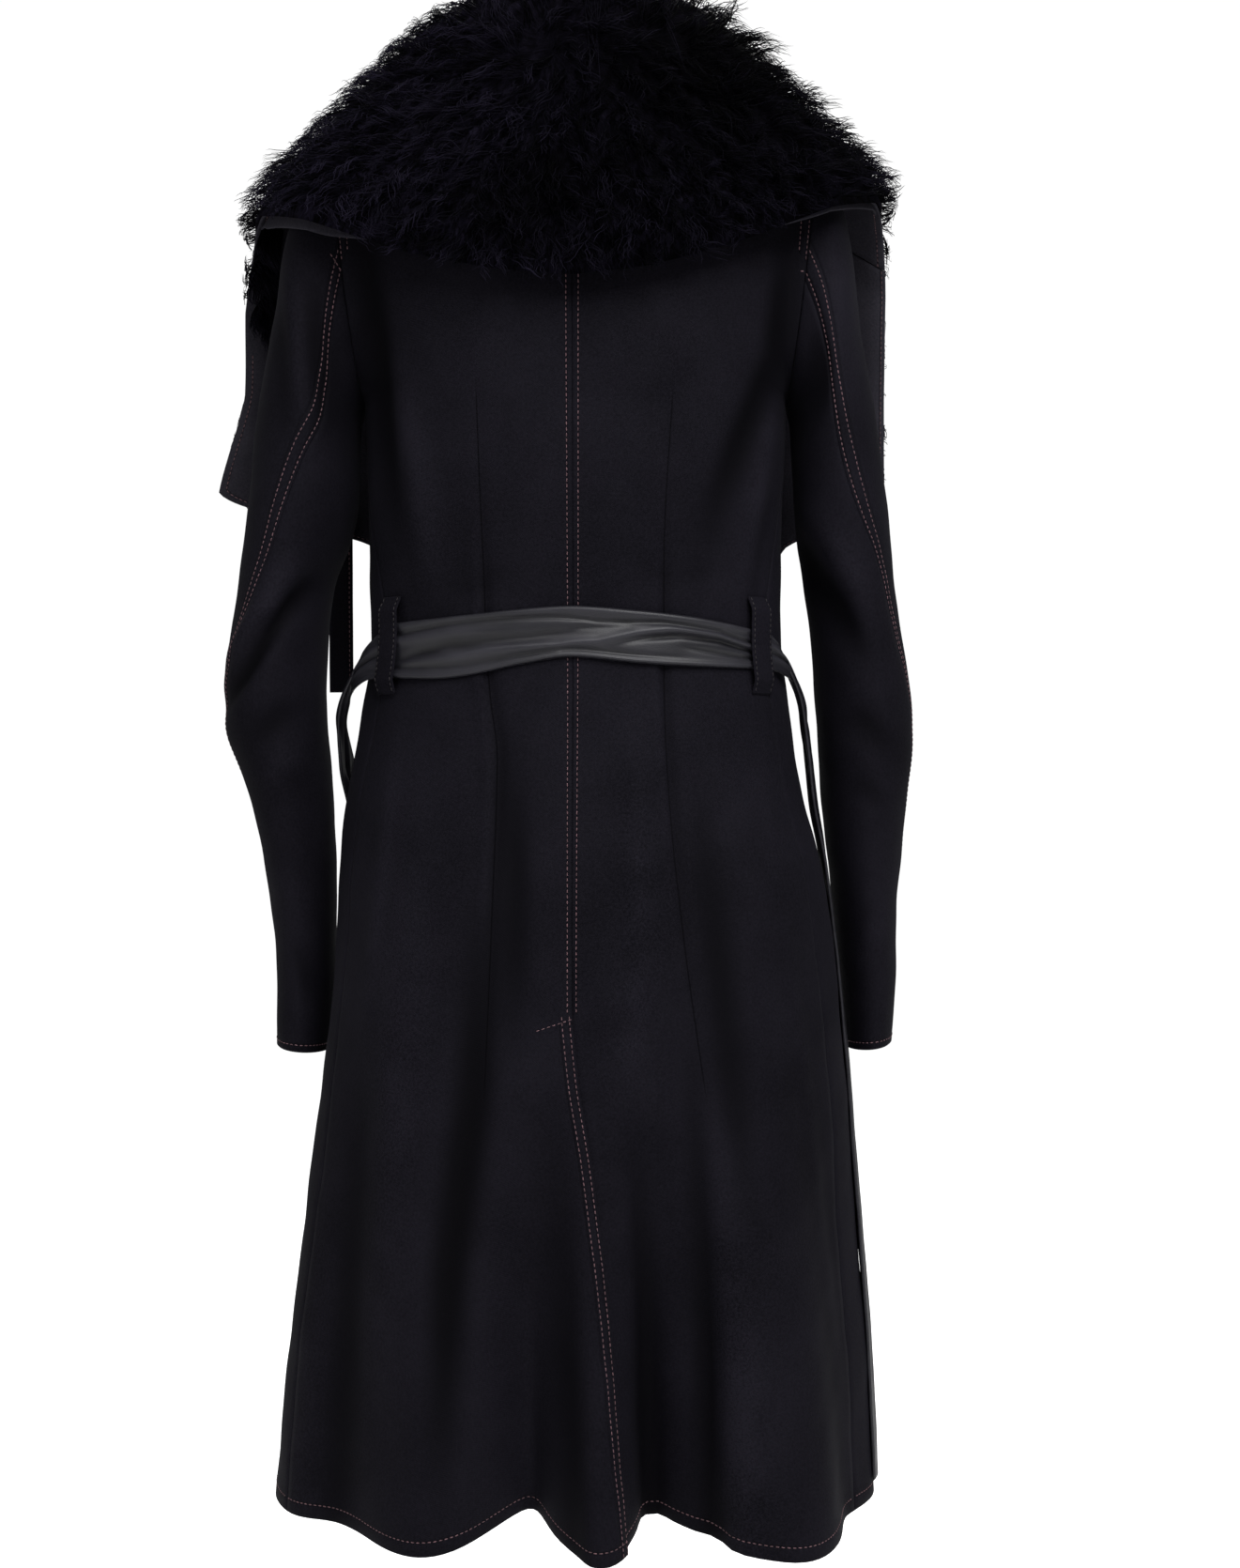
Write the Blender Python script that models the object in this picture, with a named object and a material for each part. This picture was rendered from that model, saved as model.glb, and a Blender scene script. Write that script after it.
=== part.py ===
"""Fur collar coat, filled out as it hangs when worn, with its leather belt untied.

Lengths are in metres. X points to the wearer's left, Y to the back and Z up. The origin is the
middle of the neck opening. Each cut piece is a wall of cloth over one surface, which is worked
out from the levels, folds and stations below.
"""

import bmesh
import bpy
import numpy as np

CLOTH = 0.002
SEAM_GAP = 0.0003
# The gap of a slanted edge is squared for slants down to this sine.
STEEPEST_SLANT = 0.25
FUR_GAP = 0.0008
LEATHER = 0.0024
HEM_Z = -1.073
CHEST_Z = -0.245
VENT_TOP_Z = -0.700
BREAK_Z = -0.560

NECK_HALF_WIDTH = 0.078
NECK_BACK_DEPTH = 0.064
NAPE_Z = -0.006
NECK_SIDE_Z = 0.006
SHOULDER_TIP = (0.182, 0.0, -0.060)
ARMHOLE_HALF_DEPTH = 0.066
NECK_SHARE = 0.40
TORSO_POWER = 2.25

VENT_LAP_DROP = 0.0042
VENT_LAP_ANGLE = 12.0

# The coat's cross-section at each height: half-widths, depths and the angle of the side seam.
BODY_COLUMNS = ("height", "left", "right", "back", "front", "side_seam")
BODY_LEVELS = (
    (-1.073, 0.2280, 0.2290, 0.1500, 0.1550, 74.0),
    (-0.985, 0.2200, 0.2240, 0.1480, 0.1500, 74.0),
    (-0.871, 0.2075, 0.2150, 0.1450, 0.1440, 73.0),
    (-0.745, 0.1900, 0.2050, 0.1400, 0.1370, 72.0),
    (-0.655, 0.1815, 0.1960, 0.1330, 0.1300, 71.0),
    (-0.600, 0.1790, 0.1870, 0.1260, 0.1250, 70.5),
    (-0.547, 0.1745, 0.1735, 0.1170, 0.1190, 70.0),
    (-0.490, 0.1650, 0.1640, 0.1060, 0.1120, 70.0),
    (-0.427, 0.1560, 0.1575, 0.0985, 0.1080, 70.0),
    (-0.367, 0.1570, 0.1580, 0.1030, 0.1120, 74.0),
    (-0.305, 0.1590, 0.1590, 0.1130, 0.1230, 82.0),
    (-0.245, 0.1610, 0.1610, 0.1210, 0.1310, 90.0),
)

# The rows of a body panel: 0 is the hem, 1 chest level and 2 the shoulder.
BODY_ROWS = np.concatenate([
    np.interp(np.linspace(0.0, 1.0, 20), (0.0, 0.5, 1.0), (0.0, 0.45, 0.78)),
    (0.84, 0.92, 1.0, 1.14, 1.30, 1.46, 1.62, 1.76, 1.88, 1.96, 2.0),
])

# How far the front edge stands from the middle of the front.
FRONT_EDGE_COLUMNS = ("height", "from_middle")
FRONT_EDGE_LEVELS = (
    (-1.073, 0.034),
    (-0.800, 0.020),
    (-0.560, 0.013),
    (-0.450, 0.018),
    (-0.350, 0.032),
    (-0.245, 0.052),
)

# The soft folds of the skirt: the angle at the hem counts from the middle of the back to the left.
FOLD_COLUMNS = ("angle", "depth", "width", "top", "lean", "hem_lift")
SKIRT_FOLDS = (
    (34.0, 0.018, 13.0, -0.62, -3.0, 0.000),
    (15.0, -0.054, 11.0, -0.66, -4.0, 0.015),
    (-8.0, 0.022, 11.0, -0.68, 4.0, -0.002),
    (-27.0, -0.046, 11.0, -0.60, 7.0, 0.012),
    (-48.0, 0.040, 14.0, -0.52, 6.0, -0.002),
    (-72.0, -0.010, 9.0, -0.48, 2.0, 0.000),
    (60.0, -0.014, 12.0, -0.60, 5.0, 0.002),
    (119.0, 0.018, 14.0, -0.62, 3.0, 0.000),
    (144.0, -0.036, 12.0, -0.62, 4.0, 0.004),
    (164.0, 0.014, 10.0, -0.66, 2.0, 0.000),
    (-112.0, 0.020, 12.0, -0.60, -4.0, 0.000),
    (-134.0, -0.036, 12.0, -0.62, -5.0, 0.004),
    (-157.0, 0.024, 12.0, -0.60, -3.0, 0.000),
)

# The rings of each sleeve, from the armhole to the cuff.
SLEEVE_COLUMNS = ("outer_x", "outer_z", "inner_x", "inner_z", "back_y", "front_y")
SLEEVE_LEFT = (
    (0.1820, -0.060, 0.1610, -0.245, 0.066, -0.066),
    (0.2030, -0.079, 0.1650, -0.262, 0.068, -0.069),
    (0.2195, -0.117, 0.1665, -0.282, 0.070, -0.071),
    (0.2290, -0.180, 0.1670, -0.302, 0.071, -0.073),
    (0.2420, -0.250, 0.1680, -0.325, 0.069, -0.074),
    (0.2500, -0.315, 0.1745, -0.350, 0.066, -0.074),
    (0.2570, -0.372, 0.1870, -0.382, 0.062, -0.075),
    (0.2645, -0.425, 0.1920, -0.425, 0.058, -0.078),
    (0.2705, -0.465, 0.1930, -0.463, 0.054, -0.080),
    (0.2685, -0.498, 0.1920, -0.496, 0.050, -0.080),
    (0.2540, -0.538, 0.1900, -0.534, 0.044, -0.080),
    (0.2430, -0.585, 0.1885, -0.580, 0.034, -0.082),
    (0.2370, -0.632, 0.1880, -0.626, 0.024, -0.086),
    (0.2340, -0.685, 0.1885, -0.684, 0.014, -0.092),
    (0.2350, -0.738, 0.1925, -0.743, 0.008, -0.098),
)
SLEEVE_RIGHT = (
    (0.1820, -0.060, 0.1610, -0.245, 0.066, -0.066),
    (0.1985, -0.078, 0.1650, -0.262, 0.068, -0.069),
    (0.2085, -0.115, 0.1665, -0.282, 0.070, -0.071),
    (0.2150, -0.180, 0.1670, -0.302, 0.071, -0.073),
    (0.2280, -0.250, 0.1680, -0.325, 0.069, -0.074),
    (0.2370, -0.315, 0.1700, -0.350, 0.066, -0.074),
    (0.2430, -0.372, 0.1750, -0.382, 0.062, -0.075),
    (0.2505, -0.425, 0.1815, -0.425, 0.058, -0.078),
    (0.2570, -0.465, 0.1840, -0.463, 0.054, -0.080),
    (0.2585, -0.498, 0.1860, -0.496, 0.050, -0.080),
    (0.2560, -0.538, 0.1890, -0.534, 0.044, -0.080),
    (0.2530, -0.585, 0.1945, -0.580, 0.034, -0.082),
    (0.2500, -0.632, 0.2000, -0.626, 0.024, -0.086),
    (0.2500, -0.684, 0.2050, -0.682, 0.014, -0.092),
    (0.2475, -0.736, 0.2100, -0.741, 0.008, -0.098),
)
# The back seam of each sleeve winds from the armhole's back round to the outside of the elbow.
SLEEVE_SEAM_COLUMNS = ("ring", "left", "right")
SLEEVE_SEAM = (
    (0.0, 95.0, 98.0),
    (1.0, 109.0, 101.0),
    (2.0, 121.0, 100.0),
    (3.0, 116.0, 96.0),
    (4.0, 101.0, 95.0),
    (5.0, 89.0, 83.0),
    (6.0, 79.0, 60.0),
    (7.0, 54.0, 44.0),
    (8.0, 32.0, 30.0),
    (10.0, 12.0, 12.0),
    (14.0, 0.0, 0.0),
)
SLEEVE_FRONT_SEAM = 250.0

# The collar and lapels, a row for each station from the middle of the back to the break. "line"
# counts along the neck (0 to 1), the roll on the chest (1 to 2) and the front edge (2 to 3).
COLLAR_COLUMNS = (
    "line", "roll_dx", "roll_dy", "roll_dz",
    "mid_x", "mid_y", "mid_z", "edge_x", "edge_y", "edge_z", "pile",
)
COLLAR_LEFT = (
    (0.00, 0.000, 0.018, 0.038, 0.000, 0.113, -0.068, 0.000, 0.141, -0.176, 0.021),
    (0.28, 0.006, 0.018, 0.037, 0.052, 0.108, -0.066, 0.054, 0.138, -0.171, 0.022),
    (0.56, 0.010, 0.013, 0.031, 0.106, 0.086, -0.056, 0.118, 0.116, -0.154, 0.024),
    (0.82, 0.012, 0.005, 0.023, 0.152, 0.051, -0.040, 0.195, 0.081, -0.122, 0.027),
    (1.04, 0.012, -0.004, 0.016, 0.171, -0.006, -0.039, 0.240, 0.004, -0.101, 0.026),
    (1.25, 0.013, -0.012, 0.012, 0.172, -0.064, -0.052, 0.256, -0.058, -0.116, 0.024),
    (1.42, 0.010, -0.016, 0.004, 0.168, -0.102, -0.098, 0.266, -0.086, -0.152, 0.022),
    (1.68, 0.008, -0.015, 0.000, 0.162, -0.128, -0.172, 0.268, -0.094, -0.222, 0.021),
    (1.97, 0.007, -0.014, 0.000, 0.160, -0.136, -0.246, 0.290, -0.100, -0.298, 0.020),
    (2.13, 0.007, -0.014, 0.000, 0.150, -0.139, -0.282, 0.240, -0.115, -0.317, 0.019),
    (2.22, 0.007, -0.014, 0.000, 0.130, -0.139, -0.306, 0.202, -0.126, -0.328, 0.018),
    (2.32, 0.007, -0.014, 0.000, 0.112, -0.139, -0.334, 0.170, -0.132, -0.338, 0.017),
    (2.44, 0.007, -0.014, 0.000, 0.097, -0.138, -0.370, 0.146, -0.135, -0.376, 0.017),
    (2.62, 0.006, -0.014, 0.000, 0.080, -0.137, -0.424, 0.120, -0.136, -0.430, 0.017),
    (2.80, 0.005, -0.013, 0.000, 0.058, -0.137, -0.490, 0.092, -0.136, -0.488, 0.016),
    (3.00, 0.003, -0.008, -0.004, 0.026, -0.140, -0.568, 0.042, -0.140, -0.574, 0.010),
)
COLLAR_RIGHT = (
    (0.00, 0.000, 0.018, 0.038, 0.000, 0.113, -0.068, 0.000, 0.141, -0.176, 0.021),
    (0.28, 0.006, 0.018, 0.037, 0.052, 0.108, -0.064, 0.054, 0.138, -0.169, 0.024),
    (0.56, 0.010, 0.013, 0.031, 0.105, 0.086, -0.054, 0.117, 0.116, -0.147, 0.028),
    (0.82, 0.012, 0.005, 0.023, 0.150, 0.051, -0.039, 0.188, 0.081, -0.113, 0.030),
    (1.04, 0.012, -0.004, 0.016, 0.168, -0.006, -0.039, 0.230, 0.004, -0.091, 0.028),
    (1.25, 0.013, -0.012, 0.012, 0.168, -0.064, -0.051, 0.241, -0.058, -0.099, 0.025),
    (1.42, 0.010, -0.016, 0.004, 0.162, -0.102, -0.096, 0.246, -0.086, -0.140, 0.021),
    (1.68, 0.008, -0.015, 0.000, 0.156, -0.128, -0.168, 0.246, -0.096, -0.218, 0.020),
    (1.97, 0.007, -0.014, 0.000, 0.150, -0.136, -0.242, 0.247, -0.104, -0.292, 0.020),
    (2.13, 0.007, -0.014, 0.000, 0.144, -0.139, -0.278, 0.222, -0.115, -0.312, 0.019),
    (2.22, 0.007, -0.014, 0.000, 0.127, -0.139, -0.304, 0.196, -0.126, -0.326, 0.018),
    (2.32, 0.007, -0.014, 0.000, 0.111, -0.139, -0.334, 0.168, -0.132, -0.340, 0.017),
    (2.44, 0.007, -0.014, 0.000, 0.097, -0.138, -0.370, 0.146, -0.135, -0.376, 0.017),
    (2.62, 0.006, -0.014, 0.000, 0.080, -0.137, -0.424, 0.120, -0.136, -0.430, 0.017),
    (2.80, 0.005, -0.013, 0.000, 0.058, -0.137, -0.490, 0.092, -0.136, -0.488, 0.016),
    (3.00, 0.003, -0.008, -0.004, 0.026, -0.140, -0.568, 0.042, -0.140, -0.574, 0.010),
)
COLLAR_ACROSS = (0.0, 0.20, 0.58, 1.0)
COLLAR_END = 5.6
LAPEL_LIFT = 0.0020
NECK_LIFT = 0.0017

# The belt's stretches, a row for each place along the route: angle round the body, height, how
# far it stands off the cloth, its width and how far it has turned from level to hanging.
BELT_COLUMNS = ("angle", "height", "stand_off", "width", "turn")
BELT_BACK = (
    (66.0, -0.438, 0.0012, 0.040, 4.0),
    (45.0, -0.437, 0.0012, 0.045, 2.0),
    (20.0, -0.430, 0.0012, 0.040, 0.0),
    (0.0, -0.4265, 0.0012, 0.037, 0.0),
    (-25.0, -0.4300, 0.0012, 0.038, 0.0),
    (-45.0, -0.4330, 0.0012, 0.036, -2.0),
    (-66.0, -0.4370, 0.0012, 0.029, -4.0),
)
BELT_TAIL_RIGHT = (
    (-66.1, -0.4370, 0.0012, 0.029, -4.0),
    (-74.0, -0.4400, 0.0030, 0.030, -20.0),
    (-82.0, -0.4540, 0.0080, 0.032, -48.0),
    (-88.0, -0.4820, 0.0130, 0.030, -74.0),
    (-90.0, -0.5200, 0.0120, 0.032, -88.0),
    (-90.0, -0.5700, 0.0075, 0.034, -90.0),
    (-90.0, -0.6600, 0.0035, 0.036, -90.0),
    (-89.0, -0.8000, 0.0030, 0.036, -90.0),
    (-88.0, -0.9500, 0.0030, 0.036, -90.0),
    (-87.0, -1.0600, 0.0030, 0.036, -90.0),
)
BELT_TAIL_LEFT = (
    (66.1, -0.4380, 0.0012, 0.040, 4.0),
    (76.0, -0.4440, 0.0040, 0.034, 18.0),
    (86.0, -0.4600, 0.0110, 0.034, 46.0),
    (93.0, -0.4900, 0.0180, 0.034, 72.0),
    (98.0, -0.5250, 0.0120, 0.036, 82.0),
    (105.0, -0.5700, 0.0045, 0.036, 76.0),
    (115.0, -0.6600, 0.0035, 0.036, 82.0),
    (119.0, -0.8000, 0.0040, 0.036, 90.0),
    (119.0, -0.9500, 0.0040, 0.036, 90.0),
    (119.0, -1.0350, 0.0040, 0.036, 90.0),
)
# The narrow strip that hangs from the lower edge of the left lapel.
STRIP_INNER_X = 0.1870
STRIP_OUTER_X = 0.2065
STRIP_TOP_Z = -0.312
STRIP_BOTTOM_Z = -0.460
STRIP_TOP_Y = -0.1192
STRIP_BOTTOM_Y = -0.1270

LOOP_ANGLE = 66.5
LOOP_HALF_ANGLE = 3.6
LOOP_TOP_Z = -0.398
LOOP_BOTTOM_Z = -0.470
LOOP_RISE = 0.0050

WOOL = ("wool", (0.022, 0.021, 0.027), 0.92)
WOOL_UNDER = ("wool_under", (0.019, 0.018, 0.023), 0.92)
FUR = ("fur", (0.012, 0.011, 0.014), 1.0)
BELT_SKIN = ("leather", (0.030, 0.028, 0.032), 0.38)


def column(table, columns, name):
    """Return one named column of a table."""
    return np.array([row[columns.index(name)] for row in table], float)


def smooth(known_at, known, at, softness=1.0):
    """Return a smooth curve through the known values; softness 0 gives straight stretches."""
    at = np.clip(np.asarray(at, float), min(known_at[0], known_at[-1]), max(known_at[0], known_at[-1]))
    if known_at[0] > known_at[-1]:
        known_at, known = known_at[::-1], known[::-1]
    steps = np.diff(known_at)
    rises = np.diff(known) / steps
    slopes = np.concatenate([rises[:1], (rises[1:] * steps[:-1] + rises[:-1] * steps[1:])
                             / (steps[1:] + steps[:-1]), rises[-1:]])
    flat = np.zeros(len(slopes), bool)
    flat[1:-1] = rises[1:] * rises[:-1] <= 0.0
    slopes = np.where(flat, 0.0, slopes)
    place = np.clip(np.searchsorted(known_at, at, side="right") - 1, 0, len(steps) - 1)
    part = (at - known_at[place]) / steps[place]
    start = slopes[place] * softness + rises[place] * (1.0 - softness)
    end = slopes[place + 1] * softness + rises[place] * (1.0 - softness)
    square, cube = part * part, part * part * part
    return (known[place] * (2 * cube - 3 * square + 1) + known[place + 1] * (3 * square - 2 * cube)
            + steps[place] * (start * (cube - 2 * square + part) + end * (cube - square)))


def look_up(table, columns, name, at, key, softness=1.0):
    """Return a named column at places along the table's key column."""
    return smooth(column(table, columns, key), column(table, columns, name), at, softness)


def ramp(value, start, end):
    """Return 0 before start and 1 after end, with a soft change between."""
    part = np.clip((value - start) / (end - start), 0.0, 1.0)
    return part * part * (3.0 - 2.0 * part)


def point(x, y, z):
    """Return points with the last axis as X, Y and Z."""
    return np.stack(np.broadcast_arrays(x, y, z), axis=-1)


def body_level(name, height):
    """Return a named size of the body at a height."""
    return look_up(BODY_LEVELS, BODY_COLUMNS, name, height, "height")


def ring(angle, height):
    """Return the coat's outer face at an angle from the middle of the back and a height."""
    angle, height = np.broadcast_arrays(np.asarray(angle, float), np.asarray(height, float))
    turn = np.radians(angle)
    side, back = np.sin(turn), np.cos(turn)
    width = np.where(side >= 0.0, body_level("left", height), body_level("right", height))
    depth = np.where(back >= 0.0, body_level("back", height), body_level("front", height))
    reach = ((np.abs(side) / width) ** TORSO_POWER + (np.abs(back) / depth) ** TORSO_POWER)
    reach = reach ** (-1.0 / TORSO_POWER)
    out_x, out_y = side / width, back / depth
    length = np.hypot(out_x, out_y)
    push = np.zeros_like(reach)
    lift = np.zeros_like(reach)
    for row in SKIRT_FOLDS:
        fold = dict(zip(FOLD_COLUMNS, row))
        down = np.clip((fold["top"] - height) / (fold["top"] - HEM_Z), 0.0, 1.0)
        middle = fold["angle"] + fold["lean"] * (1.0 - down)
        away = (angle - middle + 180.0) % 360.0 - 180.0
        bell = np.exp(-((away / fold["width"]) ** 2))
        push = push + fold["depth"] * bell * down ** 1.5
        lift = lift + fold["hem_lift"] * bell * down ** 3
    return point(reach * side + push * out_x / length, reach * back + push * out_y / length, height + lift)


def vent_edge_angle(height):
    """Return the angle of the overlapping vent edge, which swings to the right towards the hem."""
    return -11.0 * np.clip((VENT_TOP_Z - height) / (VENT_TOP_Z - HEM_Z), 0.0, 1.0)


def back_edge_angle(side, height):
    """Return the angle of a back panel's middle edge: the seam, and below it the vent."""
    if side > 0:
        return vent_edge_angle(height)
    return VENT_LAP_ANGLE * ramp(-height, -VENT_TOP_Z, -VENT_TOP_Z + 0.030)


def front_edge_angle(height):
    """Return the angle from the middle of the back to the front edge."""
    from_middle = look_up(FRONT_EDGE_LEVELS, FRONT_EDGE_COLUMNS, "from_middle", height, "height")
    return 180.0 - np.degrees(np.arctan2(from_middle, body_level("front", height)))


def armhole(share, facing):
    """Return the armhole's back (facing 1) or front (-1) half, from underarm (0) to shoulder (1)."""
    turn = np.pi * (1.0 - share)
    under_x = body_level("left", CHEST_Z)
    middle_x, middle_z = (SHOULDER_TIP[0] + under_x) / 2, (SHOULDER_TIP[2] + CHEST_Z) / 2
    half_x, half_z = (SHOULDER_TIP[0] - under_x) / 2, (SHOULDER_TIP[2] - CHEST_Z) / 2
    return point(middle_x + half_x * np.cos(turn), facing * ARMHOLE_HALF_DEPTH * np.sin(turn),
                 middle_z + half_z * np.cos(turn))


def hermite(start, end, leave, arrive, share):
    """Return points of a curve from start to end with the given leaving and arriving pulls."""
    part = np.asarray(share)[..., None]
    square, cube = part * part, part * part * part
    return (start * (2 * cube - 3 * square + 1) + end * (3 * square - 2 * cube)
            + leave * (cube - 2 * square + part) + arrive * (cube - square))


def roll_line(share):
    """Return the left roll line on the chest, from chest level (0) to the neck's side (1)."""
    start = ring(front_edge_angle(CHEST_Z), CHEST_Z)
    end = np.array([NECK_HALF_WIDTH, 0.0, NECK_SIDE_Z])
    return hermite(start, end, np.array([0.040, -0.020, 0.250]), np.array([-0.010, 0.240, 0.070]), share)


def neck_back(share):
    """Return the left half of the back neck seam, from the nape (0) to the neck's side (1)."""
    turn = share * np.pi / 2
    return point(NECK_HALF_WIDTH * np.sin(turn), NECK_BACK_DEPTH * np.cos(turn),
                 NAPE_Z + (NECK_SIDE_Z - NAPE_Z) * share)


def shoulder_seam(share):
    """Return the left shoulder seam, from the neck's side (0) to the shoulder tip (1)."""
    start = np.array([NECK_HALF_WIDTH, 0.0, NECK_SIDE_Z])
    return start + (np.array(SHOULDER_TIP) - start) * np.asarray(share)[..., None]


def chest_arc(across, facing):
    """Return the chest ring from the panel's middle edge (0) to the side (1), on the left."""
    middle = 0.0 if facing > 0 else front_edge_angle(CHEST_Z)
    return ring(middle + (90.0 - middle) * across, CHEST_Z)


def upper_panel(across, up, facing):
    """Return the left yoke of the back (facing 1) or front (-1), from chest to shoulder."""
    rise = 0.27
    start = chest_arc(across, facing)
    drift = (start - ring(np.degrees(np.arctan2(start[..., 0], start[..., 1])), CHEST_Z - 0.01)) / 0.01
    leave = rise * drift
    if facing > 0:
        neck_part = np.clip(across / NECK_SHARE, 0.0, 1.0)
        seam_part = np.clip((across - NECK_SHARE) / (1.0 - NECK_SHARE), 0.0, 1.0)
        on_neck = (across < NECK_SHARE)[..., None]
        end = np.where(on_neck, neck_back(neck_part), shoulder_seam(seam_part))
        arrive = point(0.0, -0.13 - 0.14 * neck_part, 0.20 - 0.13 * neck_part)
    else:
        end = shoulder_seam(across)
        arrive = point(0.0, 0.27 + 0.0 * across, 0.07)
    panel = hermite(start, end, leave, arrive, up)
    side_start = chest_arc(np.ones_like(up), facing)
    side_leave = rise * (side_start - ring(90.0 + 0.0 * up, CHEST_Z - 0.01)) / 0.01
    tip_arrive = np.array([0.0, -facing * 0.27, 0.07])
    side_line = hermite(side_start, np.array(SHOULDER_TIP), side_leave, tip_arrive, up)
    panel = panel + (across ** 3)[..., None] * (armhole(up, facing) - side_line)
    if facing < 0:
        edge_start = chest_arc(np.zeros_like(up), facing)
        edge_angle = front_edge_angle(CHEST_Z) + 0.0 * up
        edge_leave = rise * (edge_start - ring(edge_angle, CHEST_Z - 0.01)) / 0.01
        neck_side = np.array([NECK_HALF_WIDTH, 0.0, NECK_SIDE_Z])
        edge_line = hermite(edge_start, neck_side, edge_leave, np.array([0.0, 0.27, 0.07]), up)
        panel = panel + ((1.0 - across) ** 3)[..., None] * (roll_line(up) - edge_line)
    return panel


def mirrored(points, side):
    """Return left-hand points, or their mirror image for the right (side -1)."""
    return points * np.array([float(side), 1.0, 1.0])


def vent_drop(angle, height):
    """Return how far the right back panel lies inside the left one at the vent."""
    edge = vent_edge_angle(height)
    return (VENT_LAP_DROP * ramp(-height, -VENT_TOP_Z - 0.060, -VENT_TOP_Z - 0.022)
            * ramp(angle, edge - 11.0, edge - 2.0))


def body_panel(side, facing):
    """Return the surface of a back (facing 1) or front (-1) panel.

    across runs from the middle (0) to the side (1); up runs from the hem (0) by chest level (1)
    to the shoulder (2).
    """

    def surface(across, up):
        height = HEM_Z + (CHEST_Z - HEM_Z) * np.clip(up, 0.0, 1.0)
        middle = back_edge_angle(side, height) * side if facing > 0 else front_edge_angle(height)
        seam = body_level("side_seam", height)
        angle = side * (middle + (seam - middle) * across)
        lower = ring(angle, height)
        if side < 0 and facing > 0:
            lower = stand_off(angle, height, -vent_drop(angle, height))
        upper = mirrored(upper_panel(across, np.clip(up - 1.0, 0.0, 1.0), facing), side)
        return np.where((up > 1.0)[..., None], upper, lower)

    return surface


def sleeve_ring(side, name, along):
    """Return a named column of a sleeve's rings at places counted in rings."""
    rings = SLEEVE_LEFT if side > 0 else SLEEVE_RIGHT
    return smooth(np.arange(len(rings), dtype=float), column(rings, SLEEVE_COLUMNS, name), along)


def sleeve_point(side, turn, along):
    """Return the sleeve at a turn in degrees (0 outside, 90 back, 180 inside) and a ring count."""
    outer_x, outer_z = sleeve_ring(side, "outer_x", along), sleeve_ring(side, "outer_z", along)
    inner_x, inner_z = sleeve_ring(side, "inner_x", along), sleeve_ring(side, "inner_z", along)
    back_y, front_y = sleeve_ring(side, "back_y", along), sleeve_ring(side, "front_y", along)
    out, back = np.cos(np.radians(turn)), np.sin(np.radians(turn))
    x = (outer_x + inner_x) / 2 + out * (outer_x - inner_x) / 2
    y = (back_y + front_y) / 2 + back * (back_y - front_y) / 2
    z = (outer_z + inner_z) / 2 + out * (outer_z - inner_z) / 2
    return point(side * x, y, z)


def sleeve_panel(side, upper):
    """Return the surface of the top or under sleeve; across runs between its two long seams."""
    column_name = "left" if side > 0 else "right"

    def surface(across, along):
        seam = look_up(SLEEVE_SEAM, SLEEVE_SEAM_COLUMNS, column_name, along, "ring")
        if upper:
            turn = SLEEVE_FRONT_SEAM - 360.0 + (seam - SLEEVE_FRONT_SEAM + 360.0) * across
        else:
            turn = seam + (SLEEVE_FRONT_SEAM - seam) * across
        return sleeve_point(side, turn, along)

    return surface


def neck_line(line):
    """Return the seam that the left collar and lapel spring from; line is the station's column."""
    on_neck = neck_back(np.clip(line, 0.0, 1.0))
    on_chest = roll_line(np.clip(2.0 - line, 0.0, 1.0))
    height = CHEST_Z + (BREAK_Z - CHEST_Z) * np.clip(line - 2.0, 0.0, 1.0)
    on_edge = ring(front_edge_angle(height), height)
    line = np.asarray(line)[..., None]
    return np.where(line <= 1.0, on_neck, np.where(line <= 2.0, on_chest, on_edge))


def neck_height(station):
    """Return the height of the collar's seam at stations; the station is negative on the right."""
    place = np.abs(station)
    count = np.arange(len(COLLAR_LEFT), dtype=float)
    return neck_line(smooth(count, column(COLLAR_LEFT, COLLAR_COLUMNS, "line"), place))[..., 2]


def collar_point(station, across):
    """Return the cloth of the collar and lapels; the station is negative on the right."""
    place = np.abs(station)
    halves = []
    for table in (COLLAR_LEFT, COLLAR_RIGHT):
        count = np.arange(len(table), dtype=float)

        def read(name, softness=1.0, table=table, count=count):
            return smooth(count, column(table, COLLAR_COLUMNS, name), place, softness)

        seam = neck_line(read("line"))
        seam = seam + point(0.0, -LAPEL_LIFT * ramp(place, 3.6, 5.0), NECK_LIFT)
        roll = seam + point(read("roll_dx"), read("roll_dy"), read("roll_dz"))
        middle = point(read("mid_x"), read("mid_y"), read("mid_z"))
        edge = point(read("edge_x", 0.4), read("edge_y", 0.4), read("edge_z", 0.4))
        halves.append(lay_across((seam, roll, middle, edge), across))
    right = mirrored(halves[1], -1)
    return np.where((np.asarray(station) >= 0.0)[..., None], halves[0], right)


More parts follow.
